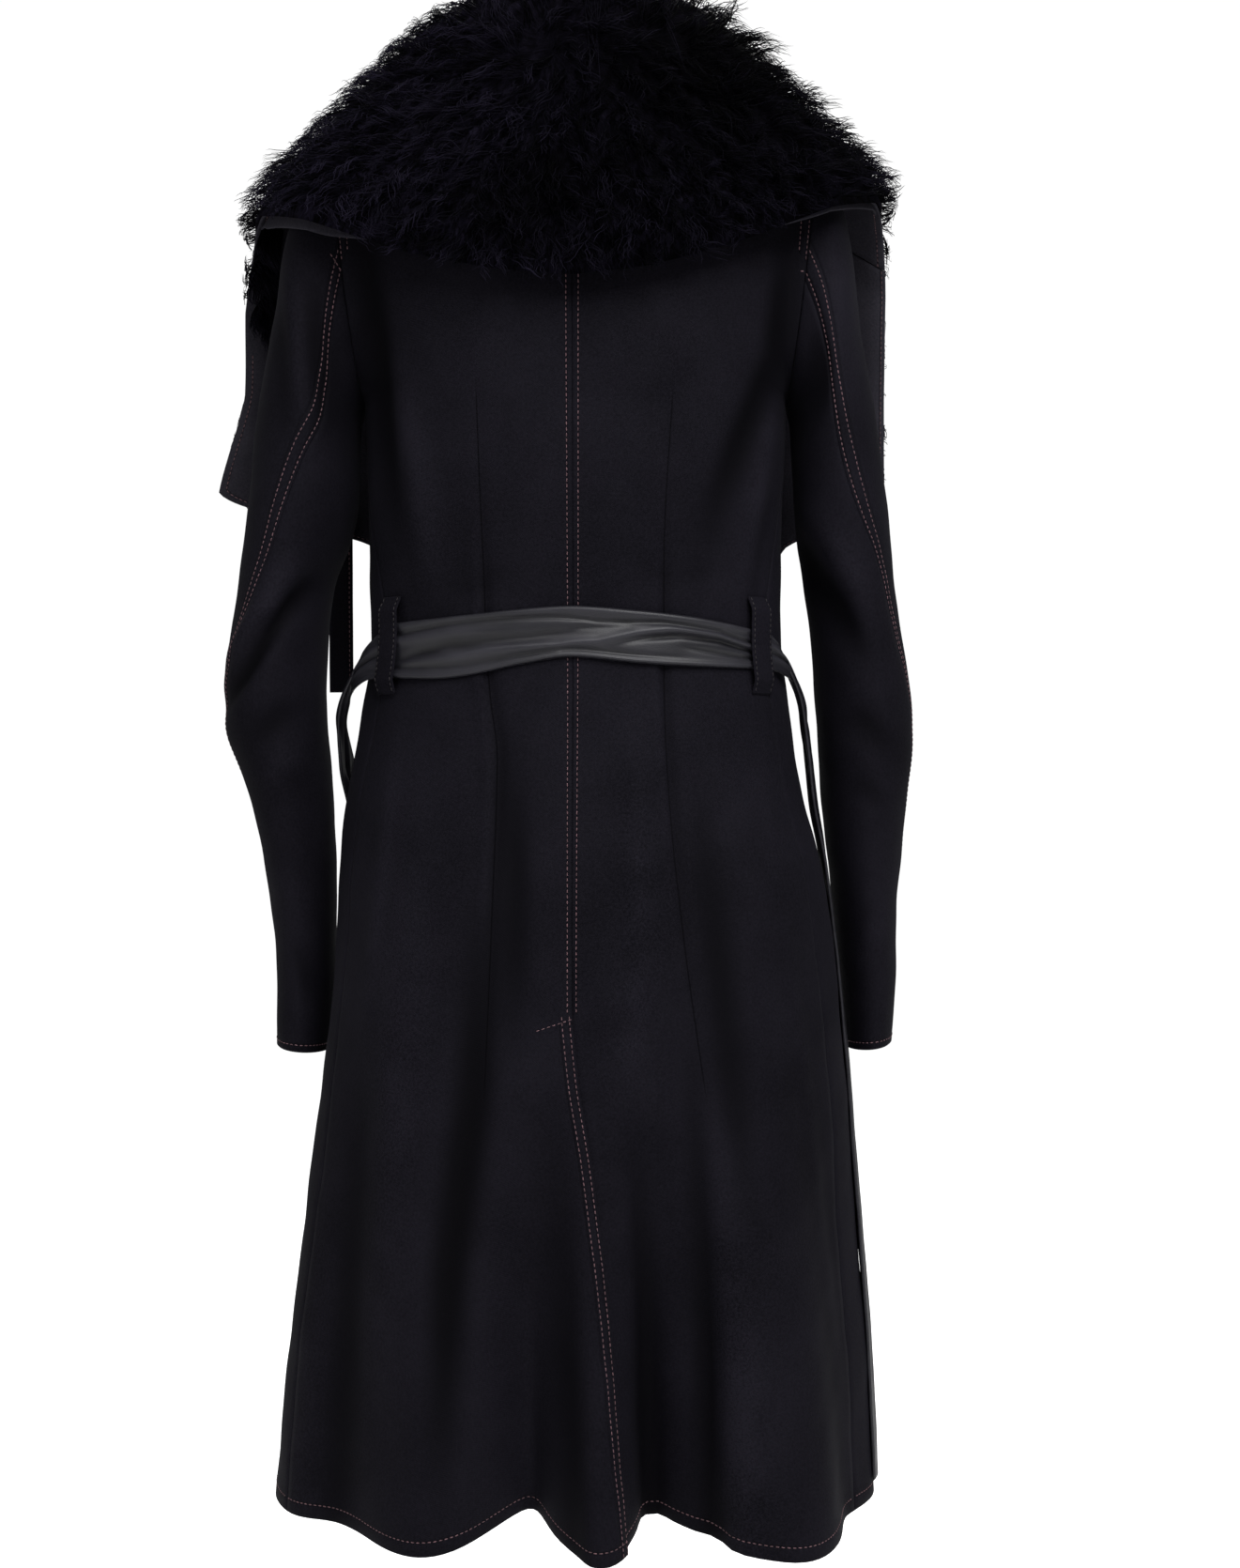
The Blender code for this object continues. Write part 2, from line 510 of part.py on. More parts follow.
def lay_across(guides, across):
    """Return a smooth curve through the four guide points at places across the collar."""
    at = COLLAR_ACROSS
    slopes = [(guides[1] - guides[0]) / (at[1] - at[0])]
    for i in (1, 2):
        before = (guides[i] - guides[i - 1]) / (at[i] - at[i - 1])
        after = (guides[i + 1] - guides[i]) / (at[i + 1] - at[i])
        weight = (at[i + 1] - at[i]) / (at[i + 1] - at[i - 1])
        slopes.append(before * weight + after * (1.0 - weight))
    slopes.append((guides[3] - guides[2]) / (at[3] - at[2]))
    across = np.asarray(across)
    result = np.zeros(np.broadcast_shapes(guides[0].shape, across.shape + (3,)))
    for i in range(3):
        width = at[i + 1] - at[i]
        part = np.clip((across - at[i]) / width, 0.0, 1.0)
        piece = hermite(guides[i], guides[i + 1], slopes[i] * width, slopes[i + 1] * width, part)
        inside = (across >= at[i]) if i else np.ones_like(across, bool)
        result = np.where(inside[..., None], piece, result)
    return result


def pile_height(station, across):
    """Return how far the fur stands off its cloth: short at the neck seam and at the edges."""
    place = np.abs(station)
    count = np.arange(len(COLLAR_LEFT), dtype=float)
    left = smooth(count, column(COLLAR_LEFT, COLLAR_COLUMNS, "pile"), place)
    right = smooth(count, column(COLLAR_RIGHT, COLLAR_COLUMNS, "pile"), place)
    full = np.where(np.asarray(station) >= 0.0, left, right)
    return full * (0.42 + 0.58 * ramp(across, 0.0, 0.35)) * (1.0 - 0.45 * ramp(across, 0.86, 1.0))


def normals(surface, across, along, limits):
    """Return unit normals of a surface from small steps, kept inside the limits of its ranges."""
    (low_a, high_a), (low_b, high_b) = limits
    step = 1e-3
    span_a, span_b = (high_a - low_a) * step, (high_b - low_b) * step
    by_across = (surface(np.clip(across + span_a, low_a, high_a), along)
                 - surface(np.clip(across - span_a, low_a, high_a), along))
    by_along = (surface(across, np.clip(along + span_b, low_b, high_b))
                - surface(across, np.clip(along - span_b, low_b, high_b)))
    normal = np.cross(by_across, by_along)
    return normal / np.linalg.norm(normal, axis=-1, keepdims=True)


def shrink_edges(layer, gaps, squarely=False):
    """Move the first and last rows and columns of a grid of points inward by the gaps.

    squarely measures a gap square to its edge, for edges that the grid's rows meet at a slant.
    """
    for axis, (first, last) in enumerate(gaps):
        grid = np.moveaxis(layer, axis, 0)
        for edge, inside, gap in ((0, 1, first), (-1, -2, last)):
            way = grid[inside] - grid[edge]
            way = way / np.linalg.norm(way, axis=-1, keepdims=True)
            if squarely:
                run = np.gradient(grid[edge], axis=0)
                run = run / np.linalg.norm(run, axis=-1, keepdims=True)
                slant = np.linalg.norm(np.cross(way, run), axis=-1, keepdims=True)
                way = way / np.clip(slant, STEEPEST_SLANT, 1.0)
            grid[edge] += gap * way


def add_object(name, points, faces, finish):
    """Make a closed mesh object with its own material in the coat's collection."""
    mesh = bpy.data.meshes.new(name)
    mesh.from_pydata([tuple(p) for p in points], [], faces)
    shaped = bmesh.new()
    shaped.from_mesh(mesh)
    bmesh.ops.triangulate(shaped, faces=shaped.faces[:], quad_method="FIXED")
    bmesh.ops.recalc_face_normals(shaped, faces=shaped.faces[:])
    shaped.to_mesh(mesh)
    shaped.free()
    mesh.shade_smooth()
    obj = bpy.data.objects.new(name, mesh)
    bpy.data.collections["fur_collar_coat"].objects.link(obj)
    label, colour, roughness = finish
    material = bpy.data.materials.new(f"{name}_{label}")
    material.use_nodes = True
    shader = material.node_tree.nodes["Principled BSDF"]
    shader.inputs["Base Color"].default_value = (*colour, 1.0)
    shader.inputs["Roughness"].default_value = roughness
    shader.inputs["Metallic"].default_value = 0.0
    mesh.materials.append(material)
    return obj


def wall(name, surface, across, along, finish, low, high, gaps=((0, 0), (0, 0)), overhang=None, trim=None,
         squarely=False):
    """Make a closed wall over a surface, between two heights along its normals.

    across and along are the places of the grid's columns and rows. low and high are numbers or
    functions of the two places. gaps are taken off the four edges, squarely where that is set,
    overhang is how much further the high side reaches past the last column, and trim changes each
    layer's edge rows.
    """
    across, along = np.asarray(across, float), np.asarray(along, float)
    grid_a, grid_b = np.meshgrid(across, along, indexing="ij")
    limits = ((across.min(), across.max()), (along.min(), along.max()))
    base = surface(grid_a, grid_b)
    out = normals(surface, grid_a, grid_b, limits)
    layers = []
    for height in (low, high):
        value = height(grid_a, grid_b) if callable(height) else np.full(grid_a.shape, height)
        layers.append(base + out * value[..., None])
    for layer in layers:
        shrink_edges(layer, gaps, squarely)
    if overhang is not None:
        shrink_edges(layers[1], overhang)
    if trim is not None:
        for layer in layers:
            trim(layer)
    points = np.concatenate([layer.reshape(-1, 3) for layer in layers])
    add_object(name, points, wall_faces(len(across), len(along)), finish)


def wall_faces(columns, rows):
    """Return the quads of a closed wall whose two layers are grids of the same size."""
    count = columns * rows
    faces = []
    for i in range(columns - 1):
        for j in range(rows - 1):
            a, b = i * rows + j, (i + 1) * rows + j
            faces.append((a, a + 1, b + 1, b))
            faces.append((count + a, count + a + 1, count + b + 1, count + b))
    rim = [i * rows for i in range(columns)]
    rim += [(columns - 1) * rows + j for j in range(1, rows)]
    rim += [i * rows + rows - 1 for i in range(columns - 2, -1, -1)]
    rim += [j for j in range(rows - 2, 0, -1)]
    for here, there in zip(rim, rim[1:] + rim[:1]):
        faces.append((here, there, count + there, count + here))
    return faces


def clear_scene():
    """Remove what is in the scene and make the coat's collection."""
    for obj in list(bpy.data.objects):
        bpy.data.objects.remove(obj)
    collection = bpy.data.collections.new("fur_collar_coat")
    bpy.context.scene.collection.children.link(collection)


def armhole_plane(side):
    """Return a point of the armhole's plane and the direction out of the body."""
    rise = np.array(SHOULDER_TIP) - np.array([body_level("left", CHEST_Z), 0.0, CHEST_Z])
    away = np.array([rise[2], 0.0, -rise[0]])
    away = away / np.linalg.norm(away)
    return mirrored(np.array(SHOULDER_TIP), side), mirrored(away, side)


def add_body():
    """Make the two backs, which lap at the vent, and the two fronts."""
    seam = SEAM_GAP / 2
    back_columns = (0.0, 0.045, 0.095, 0.15, 0.21, 0.28, 0.34, 0.40, 0.47, 0.55, 0.65, 0.75, 0.84, 0.92, 1.0)
    front_columns = np.linspace(0.0, 1.0, 13)
    for side, word in ((1, "left"), (-1, "right")):
        on_plane, away = armhole_plane(side)
        for facing, piece, columns in ((1, "back", back_columns), (-1, "front", front_columns)):

            def end_at_seams(layer, facing=facing, on_plane=on_plane, away=away):
                top = layer[:, -1]
                top[:, 1] = facing * np.maximum(facing * top[:, 1], seam)
                rim = layer[-1, BODY_ROWS > 1.0]
                past = np.maximum((rim - on_plane) @ away, 0.0)
                layer[-1, BODY_ROWS > 1.0] = rim - past[:, None] * away

            wall(f"{piece}_{word}", body_panel(side, facing), columns, BODY_ROWS, WOOL,
                 CLOTH * side * facing, 0.0, gaps=((seam, seam), (0.0, 0.0)), trim=end_at_seams)


def add_sleeves():
    """Make each sleeve from a top and an under piece."""
    rows = np.concatenate([np.linspace(0.0, 2.0, 4), np.linspace(2.7, 14.0, 15)])
    seam = SEAM_GAP
    for side, word in ((1, "left"), (-1, "right")):
        on_plane, away = armhole_plane(side)

        def meet_armhole(layer, on_plane=on_plane, away=away):
            head = layer[:, 0]
            head -= ((head - on_plane - away * SEAM_GAP) @ away)[:, None] * away

        for upper, piece in ((True, "top_sleeve"), (False, "under_sleeve")):
            wall(f"{piece}_{word}", sleeve_panel(side, upper), np.linspace(0.0, 1.0, 10), rows, WOOL_UNDER,
                 CLOTH * side, 0.0, gaps=((seam, seam), (0.0, 0.0)), trim=meet_armhole, squarely=True)


def collar_surface(across, station):
    """Return the collar's cloth with its places in the order that walls use."""
    return collar_point(station, across)


def add_collar():
    """Make the under collar, its fur, and the two lapels with theirs."""
    across = (0.0, 0.10, 0.20, 0.32, 0.46, 0.64, 0.82, 1.0)
    stations = np.linspace(-COLLAR_END, COLLAR_END, 29)

    def pile_top(places, along):
        return -FUR_GAP - pile_height(along, places)

    def sit_on_neck(layer):
        seam = neck_height(stations)
        layer[0, :, 2] = np.maximum(layer[0, :, 2], seam + NECK_LIFT)

    wall("under_collar", collar_surface, across, stations, WOOL_UNDER, CLOTH, 0.0, trim=sit_on_neck)
    wall("collar_fur", collar_surface, across, stations, FUR, -FUR_GAP, pile_top,
         overhang=((0.0, -0.009), (0.0, 0.0)), trim=sit_on_neck)
    for side, word in ((1, "left"), (-1, "right")):
        lapel = np.array([5.62, 6.0, 6.5, 7.0, 7.5, 8.0, 8.35, 8.7, 9.0, 9.5, 10.0, 10.5, 11.0, 11.5,
                          12.0, 12.5, 13.0, 13.5, 14.0, 14.5, 15.0]) * side
        wall(f"lapel_{word}", collar_surface, across, lapel, WOOL, CLOTH, 0.0)
        wall(f"lapel_fur_{word}", collar_surface, across, lapel, FUR, -FUR_GAP, pile_top,
             overhang=((0.0, -0.006), (0.0, 0.0)))


def strip_surface(across, down):
    """Return the back face of the strip on the left lapel, which hangs with a slight twist."""
    x = STRIP_OUTER_X + (STRIP_INNER_X - STRIP_OUTER_X) * across
    y = STRIP_TOP_Y + (STRIP_BOTTOM_Y - STRIP_TOP_Y) * down + 0.003 * (across - 0.5) * down
    return point(x, y, STRIP_TOP_Z + (STRIP_BOTTOM_Z - STRIP_TOP_Z) * down)


def add_strip():
    """Make the strip that hangs from the left lapel."""
    wall("lapel_strip_left", strip_surface, np.linspace(0.0, 1.0, 3), np.linspace(0.0, 1.0, 9), WOOL,
         0.0, CLOTH)


def belt_surface(route):
    """Return a strap's surface over the coat; across runs over its width and along counts rows."""
    count = np.arange(len(route), dtype=float)

    def surface(across, along):
        angle, height, off, width, turn = (
            smooth(count, column(route, BELT_COLUMNS, name), along) for name in BELT_COLUMNS
        )
        shift = (across - 0.5) * width
        tilt = np.radians(turn)
        around = np.linalg.norm(ring(angle, height)[..., :2], axis=-1)
        spot_angle = angle - np.degrees(shift * np.sin(tilt) / around)
        spot_height = height + shift * np.cos(tilt)
        return stand_off(spot_angle, spot_height, off)

    return surface


def stand_off(angle, height, off):
    """Return a point at some distance straight out from the coat's outer face."""
    step = 0.4
    here = ring(angle, height)
    by_angle = ring(angle + step, height) - ring(angle - step, height)
    by_height = ring(angle, height + 0.003) - ring(angle, height - 0.003)
    out = np.cross(by_height, by_angle)
    out = out / np.linalg.norm(out, axis=-1, keepdims=True)
    return here + out * off[..., None]


def add_belt():
    """Make the belt's back stretch, its two hanging ends and the two loops that carry it."""
    width = (0.0, 0.34, 0.67, 1.0)
    wall("belt_back", belt_surface(BELT_BACK), width, np.linspace(0.0, len(BELT_BACK) - 1.0, 25),
         BELT_SKIN, 0.0, -LEATHER, gaps=((0.0, 0.0), (SEAM_GAP, SEAM_GAP)))
    for route, word, side in ((BELT_TAIL_LEFT, "left", 1), (BELT_TAIL_RIGHT, "right", -1)):
        rows = np.linspace(0.0, len(route) - 1.0, 26)
        wall(f"belt_end_{word}", belt_surface(route), width, rows, BELT_SKIN, 0.0, LEATHER * side,
             gaps=((0.0, 0.0), (SEAM_GAP, 0.0)))
        wall(f"belt_loop_{word}", loop_surface(side), np.linspace(-1.0, 1.0, 3), np.linspace(0.0, 1.0, 13),
             WOOL, 0.0, CLOTH * side)


def loop_surface(side):
    """Return the inner face of a belt loop, which stands off the coat between its two ends."""

    def surface(across, down):
        height = LOOP_TOP_Z + (LOOP_BOTTOM_Z - LOOP_TOP_Z) * down
        rise = LOOP_RISE * ramp(down, 0.0, 0.16) * ramp(-down, -1.0, -0.84)
        return stand_off(side * (LOOP_ANGLE + LOOP_HALF_ANGLE * across), height, SEAM_GAP * 2 + rise)

    return surface


def main():
    """Build the whole coat."""
    clear_scene()
    add_body()
    add_sleeves()
    add_collar()
    add_strip()
    add_belt()


main()
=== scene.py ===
"""The looks of a fur collar coat, filled out as worn and seen from behind.

Lengths are in metres. X points to the wearer's left, Y to the back and Z up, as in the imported
frame. The cut pieces lie over the same surfaces as the solids, worked out from the same sizes,
with creases, topstitching, fur and finishes added.
"""

import logging
import math
from collections.abc import Callable, Sequence
from dataclasses import dataclass, field
from enum import Enum

import bpy
import numpy as np
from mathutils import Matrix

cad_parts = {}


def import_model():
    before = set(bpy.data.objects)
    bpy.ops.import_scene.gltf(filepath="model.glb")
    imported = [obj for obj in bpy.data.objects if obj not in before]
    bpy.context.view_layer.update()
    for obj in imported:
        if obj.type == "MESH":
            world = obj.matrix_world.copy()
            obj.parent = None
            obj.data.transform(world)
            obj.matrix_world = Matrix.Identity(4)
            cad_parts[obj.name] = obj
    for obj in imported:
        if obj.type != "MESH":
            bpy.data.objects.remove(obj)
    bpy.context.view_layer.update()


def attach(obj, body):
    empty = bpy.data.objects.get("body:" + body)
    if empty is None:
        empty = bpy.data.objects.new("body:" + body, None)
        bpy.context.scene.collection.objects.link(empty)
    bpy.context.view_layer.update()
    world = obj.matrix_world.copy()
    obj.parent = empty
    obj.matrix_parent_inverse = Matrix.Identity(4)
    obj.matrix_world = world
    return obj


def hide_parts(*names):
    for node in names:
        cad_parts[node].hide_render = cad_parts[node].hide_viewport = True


Array, Chance = np.ndarray, np.random.Generator
Surface = Callable[[Array, Array], Array]
Path = tuple[tuple[float, float], ...]
Triple = tuple[float, float, float]
Object, Material = bpy.types.Object, bpy.types.Material
Node, Socket, Tree = bpy.types.Node, bpy.types.NodeSocket, bpy.types.NodeTree
log = logging.getLogger("fur_collar_coat")

CLOTH = 0.002
LEATHER = 0.0024
SEAM_GAP = 0.0003
HEM_Z = -1.073
CHEST_Z = -0.245
VENT_TOP_Z = -0.7
BREAK_Z = -0.56
ROW_GAP = 0.0076
MM = 1000.0
# In millimetres: a distance at which no seam shows, and how far in a seam's first row lies.
FAR = 60.0
FIRST_ROW = 1.8


class Facing(Enum):
    """Which way a panel or a crease looks."""

    BACK = 1
    FRONT = -1


class Side(Enum):
    """The wearer's left or right."""

    LEFT = 1
    RIGHT = -1

    @property
    def word(self) -> str:
        """The side's name, as in the names of the nodes."""
        return self.name.lower()


def curve_weights(part: Array) -> tuple[Array, Array, Array, Array]:
    """Return how much a curve's start, end, leaving pull and arriving pull count along it."""
    square, cube = part * part, part * part * part
    return 2 * cube - 3 * square + 1, 3 * square - 2 * cube, cube - 2 * square + part, cube - square


def smooth(known_at: Array, known: Array, at: Array, softness: float = 1.0) -> Array:
    """Read a smooth curve through known values.

    Args:
        known_at: Places of the known values, rising or falling.
        known: The values there.
        at: Places to read.
        softness: 1 for a rounded curve, 0 for straight stretches.

    Returns:
        The values at the places.
    """
    at = np.clip(np.asarray(at, float), min(known_at[0], known_at[-1]), max(known_at[0], known_at[-1]))
    if known_at[0] > known_at[-1]:
        known_at, known = known_at[::-1], known[::-1]
    steps = np.diff(known_at)
    rises = np.diff(known) / steps
    inner = (rises[1:] * steps[:-1] + rises[:-1] * steps[1:]) / (steps[1:] + steps[:-1])
    inner = np.where(rises[1:] * rises[:-1] <= 0.0, 0.0, inner)
    slopes = np.concatenate([rises[:1], inner, rises[-1:]])
    place = np.clip(np.searchsorted(known_at, at, side="right") - 1, 0, len(steps) - 1)
    from_start, to_end, leave, arrive = curve_weights((at - known_at[place]) / steps[place])
    straight = rises[place] * (1.0 - softness)
    pull = leave * (slopes[place] * softness + straight) + arrive * (slopes[place + 1] * softness + straight)
    return known[place] * from_start + known[place + 1] * to_end + steps[place] * pull


def hermite(start: Array, end: Array, leave: Array, arrive: Array, share: Array) -> Array:
    """Return points of a curve from start to end with the given leaving and arriving pulls."""
    weights = curve_weights(np.asarray(share)[..., None])
    return sum(part * weight for part, weight in zip((start, end, leave, arrive), weights))


def ramp(value: Array, start: float, end: float) -> Array:
    """Return 0 before start and 1 after end, with a soft change between."""
    part = np.clip((value - start) / (end - start), 0.0, 1.0)
    return part * part * (3.0 - 2.0 * part)


def point(x: Array, y: Array, z: Array) -> Array:
    """Return points with the last axis as X, Y and Z."""
    return np.stack(np.broadcast_arrays(x, y, z), axis=-1)


def unit(vectors: Array) -> Array:
    """Return vectors of length one."""
    return vectors / np.maximum(np.linalg.norm(vectors, axis=-1, keepdims=True), 1e-12)


def mirrored(points: Array, side: float) -> Array:
    """Return left-hand points, or their mirror image for the right."""
    return points * np.array([float(side), 1.0, 1.0])


def run_along(line: Array) -> Array:
    """Return how far each point of a line lies from its start."""
    return np.concatenate([[0.0], np.cumsum(np.linalg.norm(np.diff(line, axis=0), axis=1))])


def normals(surface: Surface, across: Array, along: Array, limits: Sequence[tuple[float, float]]) -> Array:
    """Work out unit normals of a surface.

    Args:
        surface: The surface.
        across: Places across it.
        along: Places along it.
        limits: Lowest and highest place across, then along.

    Returns:
        One normal for each place.
    """
    (low_a, high_a), (low_b, high_b) = limits
    step_a, step_b = (high_a - low_a) * 1e-3, (high_b - low_b) * 1e-3
    by_across = (surface(np.clip(across + step_a, low_a, high_a), along)
                 - surface(np.clip(across - step_a, low_a, high_a), along))
    by_along = (surface(across, np.clip(along + step_b, low_b, high_b))
                - surface(across, np.clip(along - step_b, low_b, high_b)))
    return unit(np.cross(by_across, by_along))


@dataclass(frozen=True)
class Table:
    """Rows of sizes under named columns, read as smooth curves.

    Places are those of the key column, or count the rows where there is none.
    """

    columns: str
    rows: tuple[tuple[float, ...], ...]
    key: str = ""

    def column(self, name: str) -> Array:
        """Return one named column."""
        return np.array(self.rows, float)[:, self.columns.split().index(name)]

    def at(self, name: str, places: Array, softness: float = 1.0) -> Array:
        """Return a column's values at some places."""
        known_at = self.column(self.key) if self.key else np.arange(len(self.rows), dtype=float)
        return smooth(known_at, self.column(name), places, softness)

    def all_at(self, names: str, places: Array, softness: float = 1.0) -> list[Array]:
        """Return the values of several columns at some places."""
        return [self.at(name, places, softness) for name in names.split()]


BODY_LEVELS = Table("height left right back front side_seam", (
    (-1.073, 0.228, 0.229, 0.15, 0.155, 74.0),
    (-0.985, 0.22, 0.224, 0.148, 0.15, 74.0),
    (-0.871, 0.2075, 0.215, 0.145, 0.144, 73.0),
    (-0.745, 0.19, 0.205, 0.14, 0.137, 72.0),
    (-0.655, 0.1815, 0.196, 0.133, 0.13, 71.0),
    (-0.6, 0.179, 0.187, 0.126, 0.125, 70.5),
    (-0.547, 0.1745, 0.1735, 0.117, 0.119, 70.0),
    (-0.49, 0.165, 0.164, 0.106, 0.112, 70.0),
    (-0.427, 0.156, 0.1575, 0.0985, 0.108, 70.0),
    (-0.367, 0.157, 0.158, 0.103, 0.112, 74.0),
    (-0.305, 0.159, 0.159, 0.113, 0.123, 82.0),
    (-0.245, 0.161, 0.161, 0.121, 0.131, 90.0),
), "height")
FRONT_EDGE = Table("height from_middle", (
    (-1.073, 0.034), (-0.8, 0.02), (-0.56, 0.013), (-0.45, 0.018), (-0.35, 0.032), (-0.245, 0.052),
), "height")
VENT_EDGE = Table("height angle", (
    (-1.073, -14.5), (-1.0, -13.0), (-0.91, -10.5), (-0.85, -8.0), (-0.8, -5.5), (-0.75, -2.2),
    (-0.7, 0.0),
), "height")
SKIRT_FOLDS = Table("angle depth width top lean hem_lift", (
    (34, 0.018, 13, -0.62, -3, 0.0), (15, -0.054, 11, -0.66, -4, 0.015), (-8, 0.022, 11, -0.68, 4, -0.002),
    (-27, -0.046, 11, -0.6, 7, 0.012), (-48, 0.04, 14, -0.52, 6, -0.002), (-72, -0.01, 9, -0.48, 2, 0.0),
    (60, -0.014, 12, -0.6, 5, 0.002), (119, 0.018, 14, -0.62, 3, 0.0), (144, -0.036, 12, -0.62, 4, 0.004),
    (164, 0.014, 10, -0.66, 2, 0.0), (-112, 0.02, 12, -0.6, -4, 0.0), (-134, -0.036, 12, -0.62, -5, 0.004),
    (-157, 0.024, 12, -0.6, -3, 0.0),
))
# A ring of a sleeve a row: the outermost and innermost place of each sleeve, and the depth of both.
SLEEVE_RINGS = Table(
    "left_outer_x left_outer_z left_inner_x left_inner_z"
    " right_outer_x right_outer_z right_inner_x right_inner_z back_y front_y", (
        (0.182, -0.06, 0.161, -0.245, 0.182, -0.06, 0.161, -0.245, 0.066, -0.066),
        (0.203, -0.079, 0.165, -0.262, 0.1985, -0.078, 0.165, -0.262, 0.068, -0.069),
        (0.2195, -0.117, 0.1665, -0.282, 0.2085, -0.115, 0.1665, -0.282, 0.07, -0.071),
        (0.229, -0.18, 0.167, -0.302, 0.215, -0.18, 0.167, -0.302, 0.071, -0.073),
        (0.242, -0.25, 0.168, -0.325, 0.228, -0.25, 0.168, -0.325, 0.069, -0.074),
        (0.25, -0.315, 0.1745, -0.35, 0.237, -0.315, 0.17, -0.35, 0.066, -0.074),
        (0.257, -0.372, 0.187, -0.382, 0.243, -0.372, 0.175, -0.382, 0.062, -0.075),
        (0.2645, -0.425, 0.192, -0.425, 0.2505, -0.425, 0.1815, -0.425, 0.058, -0.078),
        (0.2705, -0.465, 0.193, -0.463, 0.257, -0.465, 0.184, -0.463, 0.054, -0.08),
        (0.2685, -0.498, 0.192, -0.496, 0.2585, -0.498, 0.186, -0.496, 0.05, -0.08),
        (0.254, -0.538, 0.19, -0.534, 0.256, -0.538, 0.189, -0.534, 0.044, -0.08),
        (0.243, -0.585, 0.1885, -0.58, 0.253, -0.585, 0.1945, -0.58, 0.034, -0.082),
        (0.237, -0.632, 0.188, -0.626, 0.25, -0.632, 0.2, -0.626, 0.024, -0.086),
        (0.234, -0.685, 0.1885, -0.684, 0.25, -0.684, 0.205, -0.682, 0.014, -0.092),
        (0.235, -0.738, 0.1925, -0.743, 0.2475, -0.736, 0.21, -0.741, 0.008, -0.098),
    ))
SLEEVE_SEAM = Table("ring left right", (
    (0, 95, 98), (1, 109, 101), (2, 121, 100), (3, 116, 96), (4, 101, 95), (5, 89, 83), (6, 79, 60),
    (7, 54, 44), (8, 32, 30), (10, 12, 12), (14, 0, 0),
), "ring")
# A station of the collar a row: its place on the neck line, and how far the roll stands off it.
COLLAR_ROLL = Table("line roll_dx roll_dy roll_dz", (
    (0.0, 0.0, 0.018, 0.038), (0.28, 0.006, 0.018, 0.037), (0.56, 0.01, 0.013, 0.031),
    (0.82, 0.012, 0.005, 0.023), (1.04, 0.012, -0.004, 0.016), (1.25, 0.013, -0.012, 0.012),
    (1.42, 0.01, -0.016, 0.004), (1.68, 0.008, -0.015, 0.0), (1.97, 0.007, -0.014, 0.0),
    (2.13, 0.007, -0.014, 0.0), (2.22, 0.007, -0.014, 0.0), (2.32, 0.007, -0.014, 0.0),
    (2.44, 0.007, -0.014, 0.0), (2.62, 0.006, -0.014, 0.0), (2.8, 0.005, -0.013, 0.0),
    (3.0, 0.003, -0.008, -0.004),
))
COLLAR_COLUMNS = "mid_x mid_y mid_z edge_x edge_y edge_z pile"
COLLAR_LEFT = Table(COLLAR_COLUMNS, (
    (0.0, 0.113, -0.068, 0.0, 0.141, -0.176, 0.021),
    (0.052, 0.108, -0.066, 0.054, 0.138, -0.171, 0.022),
    (0.106, 0.086, -0.056, 0.118, 0.116, -0.154, 0.024),
    (0.152, 0.051, -0.04, 0.195, 0.081, -0.122, 0.027),
    (0.171, -0.006, -0.039, 0.24, 0.004, -0.101, 0.026),
    (0.172, -0.064, -0.052, 0.256, -0.058, -0.116, 0.024),
    (0.168, -0.102, -0.098, 0.266, -0.086, -0.152, 0.022),
    (0.162, -0.128, -0.172, 0.268, -0.094, -0.222, 0.021),
    (0.16, -0.136, -0.246, 0.29, -0.1, -0.298, 0.02),
    (0.15, -0.139, -0.282, 0.24, -0.115, -0.317, 0.019),
    (0.13, -0.139, -0.306, 0.202, -0.126, -0.328, 0.018),
    (0.112, -0.139, -0.334, 0.17, -0.132, -0.338, 0.017),
    (0.097, -0.138, -0.37, 0.146, -0.135, -0.376, 0.017),
    (0.08, -0.137, -0.424, 0.12, -0.136, -0.43, 0.017),
    (0.058, -0.137, -0.49, 0.092, -0.136, -0.488, 0.016),
    (0.026, -0.14, -0.568, 0.042, -0.14, -0.574, 0.01),
))
# The right half starts and ends as the left one does.
COLLAR_RIGHT = Table(COLLAR_COLUMNS, (
    COLLAR_LEFT.rows[0],
    (0.052, 0.108, -0.064, 0.054, 0.138, -0.169, 0.024),
    (0.105, 0.086, -0.054, 0.117, 0.116, -0.147, 0.028),
    (0.15, 0.051, -0.039, 0.188, 0.081, -0.113, 0.03),
    (0.168, -0.006, -0.039, 0.23, 0.004, -0.091, 0.028),
    (0.168, -0.064, -0.051, 0.241, -0.058, -0.099, 0.025),
    (0.162, -0.102, -0.096, 0.246, -0.086, -0.14, 0.021),
    (0.156, -0.128, -0.168, 0.246, -0.096, -0.218, 0.02),
    (0.15, -0.136, -0.242, 0.247, -0.104, -0.292, 0.02),
    (0.144, -0.139, -0.278, 0.222, -0.115, -0.312, 0.019),
    (0.127, -0.139, -0.304, 0.196, -0.126, -0.326, 0.018),
    (0.111, -0.139, -0.334, 0.168, -0.132, -0.34, 0.017),
    *COLLAR_LEFT.rows[12:],
))
BELT_COLUMNS = "angle height stand_off width turn"
BELT_BACK = Table(BELT_COLUMNS, (
    (66, -0.438, 0.0012, 0.04, 4), (45, -0.437, 0.0012, 0.045, 2), (20, -0.43, 0.0012, 0.04, 0),
    (0, -0.4265, 0.0012, 0.037, 0), (-25, -0.43, 0.0012, 0.038, 0), (-45, -0.433, 0.0012, 0.036, -2),
    (-66, -0.437, 0.0012, 0.029, -4),
))
